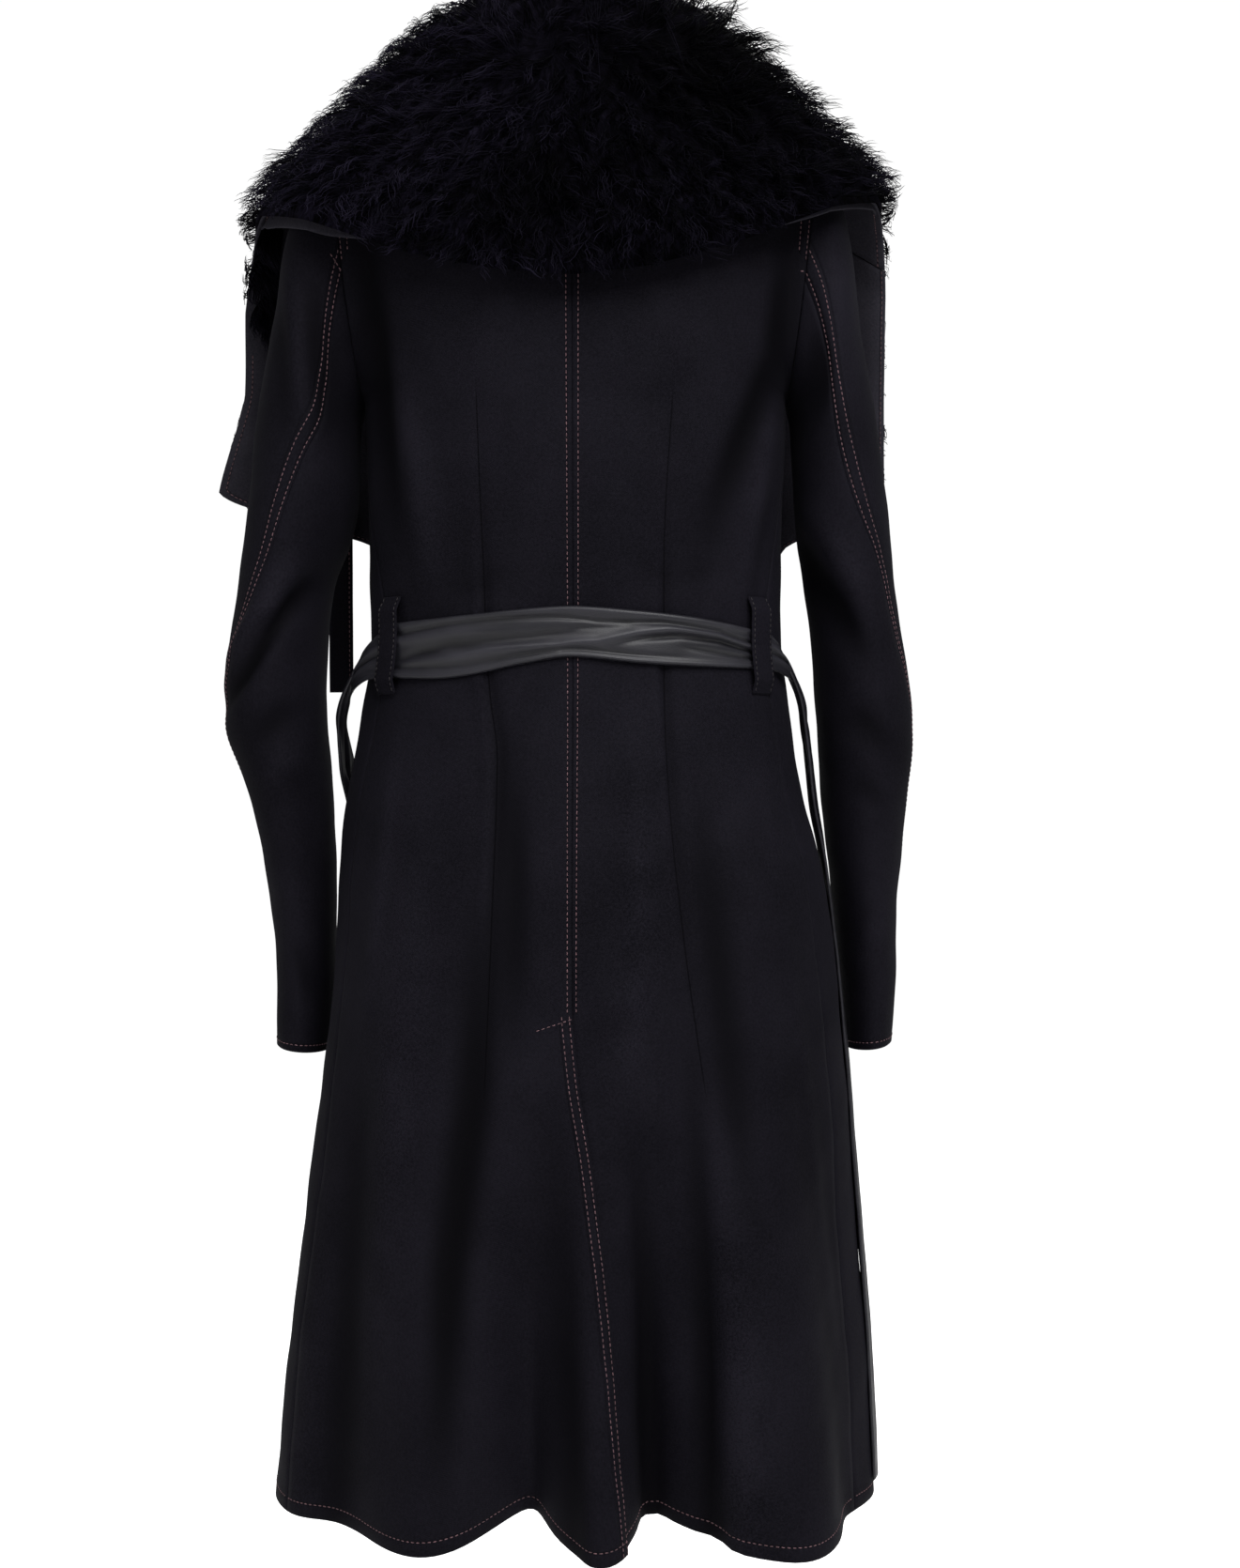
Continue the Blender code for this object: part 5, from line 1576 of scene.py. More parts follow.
@dataclass
class Sleeves(Garment):
    """Both sleeves, each cut as a top and an under piece."""

    columns: int = 30
    rows: int = 113
    seam_insets: tuple[float, float] = (0.0018, 0.0074)
    head_insets: tuple[tuple[Side, float], ...] = ((Side.LEFT, 2.6), (Side.RIGHT, 3.2))
    head_share: float = 0.42
    left_bar: Path = ((0.1795, -0.1455), (0.1745, -0.153), (0.17, -0.161))
    cuff_inset: float = 0.0055
    creases: tuple[Crease, ...] = (
        *lay_creases(Facing.BACK, (-7.0, 6.5, (276, -492), (228, -430), (184, -366)), fade=0.3),
        *lay_creases(Facing.BACK, (4.0, 6, (268, -452), (240, -418), (214, -392)), fade=0.35),
        *lay_creases(
            Facing.BACK,
            (3.6, 12, (258, -446), (226, -402), (190, -346)),
            (-3.6, 10, (252, -512), (226, -492), (198, -470)),
            (2.6, 10, (246, -540), (226, -530), (200, -510)),
            (-4.6, 12, (196, -150), (186, -225), (178, -300)),
            (4.2, 7, (214, -130), (204, -200), (200, -290)),
            (-2.6, 8, (224, -150), (216, -220), (212, -300)),
            (-2.4, 9, (216, -640), (206, -676), (200, -716)),
            (2.0, 9, (228, -600), (212, -620), (196, -630)),
        ),
        *lay_creases(Facing.BACK, (-5.8, 10, (-148, -322), (-184, -388), (-222, -458)), fade=0.35),
        *lay_creases(
            Facing.BACK,
            (3.4, 11, (-164, -312), (-196, -368), (-228, -428)),
            (-3.6, 11, (-248, -520), (-226, -500), (-194, -474)),
            (-2.4, 9, (-244, -556), (-224, -545), (-198, -528)),
            (-4.2, 12, (-190, -180), (-182, -235), (-172, -290)),
            (2.8, 12, (-200, -126), (-196, -200), (-196, -260)),
            (2.2, 10, (-240, -620), (-226, -650), (-212, -690)),
        ),
        *lay_creases(
            Facing.FRONT,
            (-3.6, 10, (250, -500), (222, -478), (196, -452)),
            (-2.4, 9, (248, -546), (224, -532), (194, -520)),
            (-2.6, 13, (224, -180), (204, -230), (184, -290)),
            (-3.6, 10, (-246, -512), (-218, -492), (-190, -470)),
            (-2.2, 9, (-244, -560), (-220, -548), (-196, -536)),
            (-2.6, 13, (-212, -170), (-196, -220), (-178, -280)),
        ),
    )

    def build(self) -> None:
        """Make the four sleeve pieces and sew them."""
        along = np.linspace(0.0, 14.0, self.rows)
        cuff = SewnSeam(Edge.HIGH, (self.cuff_inset,))

        def still(places: Array, rings: Array) -> Array:
            """Fade the creases out at the armhole."""
            return ramp(rings, 0.0, 1.2)

        for side, near in self.head_insets:
            form = Sleeve(side)
            on_plane, away = TORSO.armhole_plane(side)

            def meet_armhole(layer: Array, on_plane: Array = on_plane, away: Array = away) -> None:
                """Lay a layer's head along the armhole's plane, a seam's gap off it."""
                head = layer[:, 0]
                head -= ((head - on_plane - away * SEAM_GAP) @ away)[:, None] * away

            long_seam = SewnSeam(Edge.LAST, self.seam_insets, near=near, change=self.head_share)
            for upper, piece in ((True, "top_sleeve"), (False, "under_sleeve")):
                name = f"{piece}_{side.word}"
                self.add(Sheet(
                    f"coat_{name}", (name,), form.panel(upper), even(self.columns), along, 0.0,
                    CLOTH * side.value, Wardrobe.WOOL, creases=self.creases, swell=0.0008, seed=3.1,
                    seams=(long_seam, cuff) if upper else (cuff,), still=still, trim=meet_armhole,
                    rests_on=(f"back_{side.word}", f"front_{side.word}"),
                ))
        self.sew("left_sleeve_stitches", self.sheets[:2], [(self.sheets[0], self.left_bar)])
        self.sew("right_sleeve_stitches", self.sheets[2:])


@dataclass
class CollarCloth(Garment):
    """The cloth side of the collar and lapels, and the strip that hangs from the left lapel."""

    lapel_creases: tuple[Crease, ...] = lay_creases(
        Facing.BACK,
        (-2.2, 10, (262, -190), (250, -240), (236, -300)),
        (-1.8, 8, (282, -250), (258, -280), (226, -306)),
        (-2.0, 10, (-232, -150), (-226, -210), (-214, -280)),
    )
    collar_inset: float = 0.006
    strip_inset: float = 0.0025
    lapel_seams: dict[Side, SewnSeam] = field(default_factory=lambda: {
        Side.LEFT: SewnSeam(Edge.LAST, (0.006,), start=0.1), Side.RIGHT: SewnSeam(Edge.LAST, (0.0028,))})
    turned_edge: float = 0.003
    band_from: float = 2.2
    band_to: float = 4.3
    band_across: float = 0.975
    band_falls: dict[Side, float] = field(default_factory=lambda: {Side.LEFT: 0.0088, Side.RIGHT: 0.004})

    def band(self, side: Side) -> Surface:
        """Return the collar's rolled edge, which shows below the fur behind each shoulder."""

        def surface(across: Array, station: Array) -> Array:
            """Return places from the collar's edge to the band's lower edge."""
            place = np.abs(station)
            shown = (ramp(place, self.band_from, self.band_from + 0.7)
                     * ramp(-place, -self.band_to, 0.4 - self.band_to))
            upper, lower = (COLLAR.point(np.full_like(across, edge), station)
                            for edge in (self.band_across, 1.0))
            lower = lower - point(0.0, 0.0, 0.0008 + self.band_falls[side] * shown)
            return upper + (lower - upper) * across[..., None]

        return surface

    @staticmethod
    def strip(places: Array, down: Array) -> Array:
        """Return the strip that hangs from the left lapel, from its top (0) to its end (1)."""
        y = -0.1192 - 0.0078 * down + 0.003 * (places - 0.5) * down
        return point(0.2065 - 0.0195 * places, y, -0.312 - 0.148 * down)

    def build(self) -> None:
        """Make the under collar, the lapels and the strip, and sew their edges."""
        across = even(20)
        stations = np.linspace(-COLLAR.end, COLLAR.end, 104)

        def sit_on_neck(layer: Array) -> None:
            """Lift a layer onto the neck seam, and turn its edge out towards the lapels."""
            line = COLLAR_ROLL.at("line", np.abs(stations))
            layer[0, :, 2] = np.maximum(layer[0, :, 2], COLLAR.seam(line)[..., 2] + COLLAR.neck_lift)
            outset = self.turned_edge * ramp(np.abs(stations), 3.9, 4.6)
            layer[-1] += outset[:, None] * unit(layer[-1] - layer[-2])

        def turn_edge(layer: Array) -> None:
            """Turn a layer's edge out."""
            layer[-1] += self.turned_edge * unit(layer[-1] - layer[-2])

        # The under collar takes the wool painted lighter, as painted light.
        self.add(Sheet("coat_under_collar", ("under_collar",), COLLAR.point, across, stations, CLOTH, 0.0,
                       Wardrobe.LAPEL_WOOL, swell=0.0003, seed=0.6,
                       seams=(SewnSeam(Edge.LAST, (self.collar_inset,)),), held="folded",
                       rests_on=("back_left", "back_right"), trim=sit_on_neck))
        for side in Side:
            lapel = np.linspace(COLLAR.lapel_from, COLLAR.lapel_end, 92) * side.value
            # Each lapel takes the wool painted lighter, as painted light.
            self.add(Sheet(f"coat_lapel_{side.word}", (f"lapel_{side.word}",), COLLAR.point, across, lapel,
                           CLOTH, 0.0, Wardrobe.LAPEL_WOOL, creases=self.lapel_creases, swell=0.0005,
                           seed=2.2, seams=(self.lapel_seams[side],), trim=turn_edge, held="folded",
                           rests_on=(f"front_{side.word}",)))
        self.add(Sheet("coat_lapel_strip_left", ("lapel_strip_left",), self.strip, even(9), even(44), 0.0,
                       CLOTH, Wardrobe.WOOL, swell=0.0006, seed=5.0, rests_on=("lapel_left",),
                       seams=(SewnSeam(Edge.LAST, (self.strip_inset,)),)))
        self.sew("collar_stitches", self.sheets[:1])
        self.sew("lapel_stitches", self.sheets[1:])
        for side in Side:
            stations = np.linspace(self.band_from, self.band_to, 60) * side.value
            # Each edge band takes the wool painted lighter, a painted highlight on the collar's rolled edge.
            band = self.add(Sheet(f"collar_edge_band_{side.word}", ("under_collar",), self.band(side),
                                  even(7), stations, CLOTH * 1.9, CLOTH * 1.1, Wardrobe.LAPEL_WOOL,
                                  round_edge=0.0005, held="folded", rests_on=("under_collar",)))
            band.declare()


@dataclass
class PileField:
    """Where the collar's pile stands: its cloth tabulated finely, and carried on past the edges."""

    columns: int = 81
    rows: int = 721
    past_edge: float = 0.16
    past_end: float = 0.35

    def __post_init__(self) -> None:
        """Tabulate the cloth's points, and its normals towards the pile."""
        end = COLLAR.lapel_end
        self.across = np.linspace(0.0, 1.0 + self.past_edge, self.columns)
        self.stations = np.linspace(-end - self.past_end, end + self.past_end, self.rows)
        grid_a, grid_s = np.meshgrid(self.across, self.stations, indexing="ij")
        inside_a, inside_s = np.clip(grid_a, 0.0, 1.0), np.clip(grid_s, -end, end)
        cloth = COLLAR.point(inside_a, inside_s)
        slope_a = (cloth - COLLAR.point(inside_a - 0.01, inside_s)) / 0.01
        slope_s = cloth - COLLAR.point(inside_a, inside_s * (1.0 - 0.01 / end))
        self.points = (cloth + slope_a * (grid_a - inside_a)[..., None]
                       + slope_s * 100.0 * (np.abs(grid_s - inside_s))[..., None])
        self.outward = -normals(COLLAR.point, inside_a, inside_s, ((0.0, 1.0), (-end, end)))

    def read(self, table: Array, across: Array, station: Array) -> Array:
        """Read a table between its grid's values.

        Args:
            table: The points or the normals.
            across: Places across.
            station: Stations.

        Returns:
            The values there.
        """
        i, j = (np.clip(np.interp(at, known, np.arange(len(known))), 0, len(known) - 1.001)
                for at, known in ((across, self.across), (station, self.stations)))
        low_i, low_j = i.astype(int), j.astype(int)
        part_i, part_j = (i - low_i)[..., None], (j - low_j)[..., None]
        low, high = (table[low_i, k] * (1 - part_i) + table[low_i + 1, k] * part_i
                     for k in (low_j, low_j + 1))
        return low * (1 - part_j) + high * part_j

    def point(self, across: Array, station: Array) -> Array:
        """Return points of the cloth."""
        return self.read(self.points, across, station)

    def normal(self, across: Array, station: Array) -> Array:
        """Return directions from the cloth towards the pile."""
        return unit(self.read(self.outward, across, station))

    def change(self, across: Array, station: Array, by_across: float = 0.0, by_station: float = 0.0) -> Array:
        """Return the moves over the cloth from a little before some places to as much past them."""
        return (self.point(across + by_across, station + by_station)
                - self.point(across - by_across, station - by_station))


@dataclass
class Fur:
    """The long curly pile on the collar and lapels: a dense ground, and strands that lie in locks."""

    gap: float = 0.0008
    ground_share: float = 0.5
    ground_columns: int = 44
    measured_column: int = 30
    length: float = 0.021
    width: float = 0.00098
    joints: int = 7
    per_lock: int = 8
    spread: float = 0.0068
    gathered: float = 0.0024
    wave: float = 0.0015
    wave_length: float = 0.0115
    # Painted shade: dark zones of the pile, each as x, z, radius and depth.
    shades: tuple[tuple[float, float, float, float], ...] = (
        (-0.094, -0.023, 0.07, 0.96), (0.052, -0.138, 0.024, 0.65), (0.016, -0.116, 0.034, 0.8),
        (-0.037, -0.03, 0.024, 0.45), (-0.165, -0.075, 0.045, 0.5),
    )
    swirl: tuple[float, float] = (0.013, -0.012)
    past_edge: dict[Side, float] = field(default_factory=lambda: {Side.LEFT: 0.09, Side.RIGHT: 0.045})
    outset: tuple[float, float] = (0.005, -0.0012)
    tuft_strands: int = 640
    tufts_from: float = 4.25
    tufts_to: float = 6.2
    tufts_turn_in: float = 5.5
    cloth: PileField = field(default_factory=PileField)

    def build(self) -> None:
        """Make the pile of the collar in two halves and of each lapel."""
        whole = self.add_ground("collar", "collar_fur", -COLLAR.end, COLLAR.end, 150)
        halves = [self.add_strands(f"collar_pile_{side.word}", side, 0.0, COLLAR.end, 610, 40 + side.value)
                  for side in Side]
        for strands in halves:
            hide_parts("collar_fur")
        halves.append(self.add_tufts())
        self.declare(whole, halves, ("under_collar",))
        for side in Side:
            ground = self.add_ground(f"lapel_{side.word}", f"lapel_fur_{side.word}",
                                     COLLAR.lapel_from * side.value, COLLAR.lapel_end * side.value, 120)
            strands = self.add_strands(f"lapel_pile_{side.word}", side, COLLAR.end, COLLAR.lapel_end, 236,
                                       60 + side.value)
            self.declare(ground, [strands], (f"lapel_{side.word}",))

    def lumps(self, places: Array) -> Array:
        """Return an uneven height between -1 and 1 that follows the locks of the ground."""
        x, y, z = np.moveaxis(places, -1, 0)
        bent = 2.0 * np.sin(160 * z), np.sin(190 * x), 1.4 * np.sin(240 * x)
        return (0.5 * np.sin(420 * x + 150 * z + bent[0]) * np.sin(380 * z - 210 * y + bent[1])
                + 0.5 * np.sin(610 * x - 330 * y + bent[2]) * np.sin(560 * z + 250 * x))

    def add_ground(self, name: str, node: str, first: float, last: float, rows: int) -> Object:
        """Make the dense ground of the pile, which shows only between its locks.

        Args:
            name: Where it lies.
            node: The node that it replaces.
            first: Its first station.
            last: Its last station.
            rows: How many rows its grid has.

        Returns:
            The ground's object.
        """
        stations = np.linspace(first, last, rows)
        grid_a, grid_s = np.meshgrid(even(self.ground_columns), stations, indexing="ij")
        base = self.cloth.point(grid_a, grid_s)
        outward = self.cloth.read(self.cloth.outward, grid_a, grid_s)
        pile = COLLAR.pile(grid_a, grid_s) * self.ground_share
        edge = np.minimum(ramp(grid_a, 0.0, 0.06), ramp(-grid_a, -1.0, -0.94))
        height = self.gap + pile * (0.35 + 0.65 * edge) + 0.0022 * self.lumps(base) * edge
        top = base + outward * height[..., None]
        bottom = base + outward * self.gap
        past = np.interp(np.abs(stations), (3.8, 4.6), self.outset)
        top[-1] += past[:, None] * unit(top[-1] - top[-2])
        under, over, here, there = layer_quads(*grid_a.shape)
        count = grid_a.size
        rim = np.stack([here, there, there + count, here + count], axis=1)
        faces = np.concatenate([over, under + count, rim])
        if last < 0:
            faces = faces[:, ::-1]
        points = np.concatenate([top.reshape(-1, 3), bottom.reshape(-1, 3)])
        ground = new_mesh_object(f"{name}_pile_ground", points, faces, Wardrobe.get(Wardrobe.FUR_SKIN))
        away_x, away_z = base[..., 0] - self.swirl[0], base[..., 2] - self.swirl[1]
        uv = np.stack([np.arctan2(away_x, -away_z) * 0.1, np.hypot(away_x, away_z)], axis=-1).reshape(-1, 2)
        add_uv(ground, np.concatenate([uv, uv]))
        # The ground's tone is lighter on its lumps and darker between them, times the pile's painted shade.
        tone = ((0.3 + 0.3 * self.lumps(base)) * self.shade(grid_a, grid_s)).ravel()
        add_point_values(ground, "tone", np.concatenate([tone, tone * 0.5]))
        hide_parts(node)
        return ground

    def declare(self, ground: Object, strands: Sequence[Object], rests_on: tuple[str, ...]) -> None:
        """Work out and log the size of a stretch of fur's ground."""
        corners = np.array([v.co[:] for v in ground.data.vertices])
        faces = np.array([p.vertices[:] for p in ground.data.polygons])
        one, two = corners[faces[:, 2]] - corners[faces[:, 0]], corners[faces[:, 3]] - corners[faces[:, 1]]
        area = float(np.linalg.norm(np.cross(one, two), axis=1).sum()) / 4
        top = corners[:len(corners) // 2].reshape(self.ground_columns, -1, 3)
        length = float(run_along(top[self.measured_column])[-1])
        width = area / length * 1.12
        log.info("%s shows %.3f by %.3f m, %.4f m2", ground.name, width, length, area)

    def roots(self, low: float, high: float, side: Side, count: int, chance: Chance) -> list[Array]:
        """Spread locks evenly over one side.

        Args:
            low: The nearest station to the middle of the back.
            high: The furthest one.
            side: The wearer's left or right.
            count: How many locks there are.
            chance: The source of their small differences.

        Returns:
            Their places across and their stations.
        """
        spots = (self.cloth.stations * side.value >= low) & (self.cloth.stations * side.value <= high)
        inside = self.cloth.across[self.cloth.across <= 1.0]
        points, station = self.cloth.points[:len(inside), spots], self.cloth.stations[spots]
        if side is Side.RIGHT:
            points, station = points[:, ::-1], station[::-1]
        tall = np.linalg.norm(np.diff(points, axis=0), axis=-1)
        wide = np.linalg.norm(np.diff(points, axis=1), axis=-1).mean(axis=0)
        strip = np.concatenate([[0.0], np.cumsum(wide * tall.sum(axis=0)[1:])])
        order = np.arange(count)
        first = (0.5 + order * 0.7548776662) % 1.0
        second = (0.5 + order * 0.569840291) % 1.0
        first = np.clip(first + chance.normal(0.0, 0.012, count), 0.0, 1.0)
        second = np.clip(second + chance.normal(0.0, 0.02, count), 0.0, 1.0) ** 0.66
        place = np.interp(first * strip[-1], strip, np.arange(len(strip)))
        column = np.clip(place.round().astype(int), 0, tall.shape[1] - 1)
        run = np.concatenate([np.zeros((1, tall.shape[1])), np.cumsum(tall, axis=0)])
        across = [np.interp(part * run[-1, k], run[:, k], inside) for part, k in zip(second, column)]
        return [np.array(across), np.interp(place, np.arange(len(station)), station)]

    def flow(self, across: Array, station: Array, chance: Chance) -> Array:
        """Find the way that each lock lies: out from the swirl, and down with its weight.

        Args:
            across: The locks' places across the collar.
            station: Their stations.
            chance: The source of their small differences.

        Returns:
            Directions along the cloth.
        """
        here, outward = self.cloth.point(across, station), self.cloth.normal(across, station)
        down_slope = unit(self.cloth.change(across, station, by_across=0.03))
        side_slope = unit(self.cloth.change(across, station, by_station=0.1)) * np.sign(station)[:, None]
        away = np.stack([here[:, 0] - self.swirl[0], np.zeros(len(here)), here[:, 2] - self.swirl[1]], axis=1)
        spin = 1.15 * np.exp(-np.linalg.norm(away, axis=1) / 0.03)
        x, y, z = unit(away).T
        radial = point(x * np.cos(spin) - z * np.sin(spin), y, x * np.sin(spin) + z * np.cos(spin))
        back = ramp(outward[:, 1], -0.15, 0.45)[:, None]
        inner = ramp(-across, -0.17, -0.09)[:, None]
        slide = (0.35 * np.tanh(-away[:, 2] / 0.02))[:, None]
        fall = np.array([0.0, 0.0, -1.0])
        hang = ramp(across, 0.8, 0.98)[:, None]
        on_back = (radial + slide * down_slope) * (1.0 - 0.8 * hang) + fall * (0.1 + 0.9 * hang)
        on_front = down_slope * 0.72 + fall * 0.5 + side_slope * 0.15
        under = side_slope * 0.7 - down_slope * 0.4
        way = (1 - inner) * (back * on_back + (1 - back) * on_front) + inner * under
        x, y, z = here.T
        turn = (0.42 * np.sin(46 * x + 31 * z + 1.1) * np.sin(38 * z - 27 * y)
                + chance.normal(0.0, 0.17, len(here)))[:, None]
        way = unit(way - outward * (way * outward).sum(axis=1, keepdims=True))
        return way * np.cos(turn) + np.cross(outward, way) * np.sin(turn)

    def shade(self, across: Array, station: Array) -> Array:
        """Return the painted light and shade of the pile at each lock: lighter towards the wearer's left, and
        darker in the hollows that the photo shows.
        """
        x, y, z = np.moveaxis(self.cloth.point(across, station), -1, 0)
        light = 0.74 + 0.52 * ramp(x, -0.08, 0.12)
        for middle_x, middle_z, radius, depth in self.shades:
            away = np.hypot(x - middle_x, z - middle_z)
            light = light * (1.0 - depth * np.exp(-((away / radius) ** 2)) * (y > 0.02))
        return light

    def add_strands(self, name: str, side: Side, low: float, high: float, locks: int, seed: int) -> Object:
        """Make the strands of one side, each a tapered and waved sliver with a closed root.

        Args:
            name: The piece's name.
            side: The wearer's left or right.
            low: The nearest station to the middle of the back.
            high: The furthest one.
            locks: How many locks there are.
            seed: The seed of their small differences.

        Returns:
            The joined strands.
        """
        chance = np.random.default_rng(seed)
        across, station = self.roots(low, high, side, locks, chance)
        way = self.flow(across, station, chance)
        aside = np.cross(self.cloth.normal(across, station), way)
        lock_length = (self.length * (0.72 + 0.5 * chance.random(locks))
                       * (1.0 + 0.15 * ramp(across, 0.8, 1.0)) * (0.6 + 0.4 * ramp(across, 0.02, 0.2)))
        lock_phase = chance.random(locks) * 2 * math.pi
        tufted, tuft = (0.12, 0.24) if side is Side.LEFT else (0.22, 0.34)
        lock_lift = chance.normal(0.0, 0.09, locks) + tuft * (chance.random(locks) < tufted)
        # Each lock's random tone, times the pile's painted shade.
        lock_tone_and_shade = np.clip(chance.normal(0.47, 0.31, locks), 0.02, 1.0) * self.shade(across, station)
        lock_bend = chance.normal(0.0, 0.38, locks)
        count = locks * self.per_lock
        of = np.repeat(np.arange(locks), self.per_lock)
        circle = chance.random(count) * 2 * math.pi
        radius = self.spread * np.sqrt(chance.random(count))
        start_along = (radius * np.cos(circle) * 1.3)[:, None]
        start_aside = (radius * np.sin(circle))[:, None]
        end_along, end_aside = (self.gathered * chance.normal(0.0, apart, count)[:, None]
                                for apart in (2.2, 0.9))
        length = lock_length[of] * (0.85 + 0.3 * chance.random(count))
        share = even(self.joints + 1)[None, :]
        run = share * length[:, None]
        bend = lock_bend[of][:, None]
        phase = (lock_phase[of] + chance.normal(0.0, 0.35, count))[:, None]
        wave = self.wave * (0.25 + 0.75 * share) * np.sin(2 * math.pi * run / self.wave_length + phase)
        gather = ramp(share, 0.0, 0.9)
        move_along = run * (1.0 - 0.12 * bend ** 2) + start_along * (1 - gather) + end_along * gather
        move_aside = run * bend * share + wave + start_aside * (1 - gather) + end_aside * gather
        step_a = self.cloth.change(across, station, by_across=0.02) / 0.04
        step_s = self.cloth.change(across, station, by_station=0.08) / 0.16
        aa, ss, both = (step_a ** 2).sum(1), (step_s ** 2).sum(1), (step_a * step_s).sum(1)
        scale = np.maximum(aa * ss - both ** 2, 1e-9)

        def rates(direction: Array) -> tuple[Array, Array]:
            """Return how far across, and in stations, a metre in a direction goes."""
            by_a, by_s = (direction * step_a).sum(1), (direction * step_s).sum(1)
            each = (by_a * ss - by_s * both) / scale, (by_s * aa - by_a * both) / scale
            return each[0][of][:, None], each[1][of][:, None]

        (along_a, along_s), (aside_a, aside_s) = rates(way), rates(aside)
        place_a = np.abs(across[of][:, None] + move_along * along_a + move_aside * aside_a)
        place_s = station[of][:, None] + move_along * along_s + move_aside * aside_s
        allowed = self.past_edge[side]
        past = np.interp(np.abs(station), (2.2, 2.9, 4.2, 4.7), (0.16, allowed, 0.5 * allowed, 0.001))
        past = (past[of] * (0.5 + chance.random(count)))[:, None]
        over = np.maximum(place_a - 1.0, 0.0)
        place_a = np.minimum(place_a, 1.0) + past * (1.0 - np.exp(-over / past))
        place_a = np.minimum(place_a, self.cloth.across[-1])
        place_s = np.clip(place_s, self.cloth.stations[0], self.cloth.stations[-1])
        pile = COLLAR.pile(np.clip(across, 0.0, 1.0), station)[of][:, None]
        rise = 1.0 - (1.0 - share) ** 2.2
        lift = (lock_lift[of] + chance.normal(0.0, 0.06, count))[:, None] * share ** 1.5
        height = self.gap + pile * (0.3 + 0.6 * rise - 0.1 * share ** 3 + lift)
        height = height + 0.0008 * np.cos(2 * math.pi * run / self.wave_length + phase) * share
        normal = self.cloth.normal(place_a, place_s)
        centre = self.cloth.point(place_a, place_s) + normal * height[..., None]
        return self.skin(name, centre, normal, lock_tone_and_shade[of], chance)

    def add_tufts(self) -> Object:
        """Make the ragged tufts that hang behind the left shoulder from the collar's outer edge.

        Returns:
            The joined strands.
        """
        chance = np.random.default_rng(77)
        count = self.tuft_strands
        station = chance.uniform(self.tufts_from, self.tufts_to, count)
        across = np.where(station < self.tufts_turn_in, chance.uniform(0.9, 1.0, count),
                          chance.uniform(0.895, 0.935, count))
        root, outward = self.cloth.point(across, station), self.cloth.normal(across, station)
        edgeward = unit(root - self.cloth.point(across - 0.05, station))
        lock = np.floor((station - self.tufts_from) / 0.11).astype(int)
        drift = chance.normal(0.0, 0.3, lock.max() + 1)[lock]
        long = self.length * (0.9 + 0.9 * chance.random(lock.max() + 1)[lock] + 0.3 * chance.random(count))
        long = long * (0.55 + 0.6 * ramp(1.0 - across, 0.0, 0.08))
        share = even(self.joints + 1)[None, :, None]
        run = share * long[:, None, None]
        down = np.array([0.0, 0.0, -1.0])
        aside = np.cross(outward, down)
        curl = np.sin(2 * math.pi * run / self.wave_length + (1.7 * lock)[:, None, None])
        centre = (root - outward * (0.002 + 0.003 * chance.random((count, 1))))[:, None, :]
        centre = centre + edgeward[:, None, :] * 0.007 * np.sin(math.pi * share)
        centre = centre + down * run - outward[:, None, :] * run * 0.1
        centre = centre + aside[:, None, :] * (run * drift[:, None, None] + self.wave * share * curl)
        tone = np.clip(chance.normal(0.25, 0.15, count), 0.02, 0.7)
        facing = np.repeat(-outward[:, None, :], self.joints + 1, axis=1)
        tufts = self.skin("collar_edge_tufts", centre, facing, tone, chance)
        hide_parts("collar_fur")
        return tufts

    def skin(self, name: str, centre: Array, normal: Array, tone: Array, chance: Chance) -> Object:
        """Give three-sided skins to strands.

        Args:
            name: The piece's name.
            centre: The strands' centre lines.
            normal: Which way each of their points faces.
            tone: How light each strand is.
            chance: The source of their small differences.

        Returns:
            The joined strands.
        """
        count, joints = centre.shape[:2]
        way = unit(np.gradient(centre, axis=1))
        aside = unit(np.cross(way, normal))
        above = np.cross(aside, way)
        share = even(joints)
        girth = self.width * (0.75 + 0.5 * chance.random(count))[:, None] * (1.0 - 0.72 * share ** 1.6) / 2
        rings = [
            centre[:, :-1] + (aside[:, :-1] * math.cos(turn) + above[:, :-1] * math.sin(turn) * 0.7)
            * girth[:, :-1, None] for turn in map(math.radians, (90.0, 210.0, 330.0))
        ]
        points = np.concatenate([np.stack(rings, axis=2).reshape(count, -1, 3), centre[:, -1:]], axis=1)
        per = points.shape[1]
        faces = [(0, 2, 1)]
        for a in range((joints - 2) * 3):
            b = a - 2 if a % 3 == 2 else a + 1
            faces += [(a, b, b + 3), (a, b + 3, a + 3)]
        last = (joints - 2) * 3
        faces += [(last + corner, last + (corner + 1) % 3, per - 1) for corner in range(3)]
        faces = (np.array(faces) + (np.arange(count) * per)[:, None, None]).reshape(-1, 3)
        obj = new_mesh_object(name, points.reshape(-1, 3), faces, Wardrobe.get(Wardrobe.PILE))
        own = np.clip(tone[:, None] + chance.normal(0.0, 0.1, count)[:, None], 0.0, 1.0)
        along = np.concatenate([np.repeat(share[:-1], 3), [1.0]])[None, :]
        add_point_values(obj, "tone", own * (0.06 + 0.94 * along ** 1.4))
        log.info("%s: %d strands, %d faces", name, count, len(obj.data.polygons))
        return obj


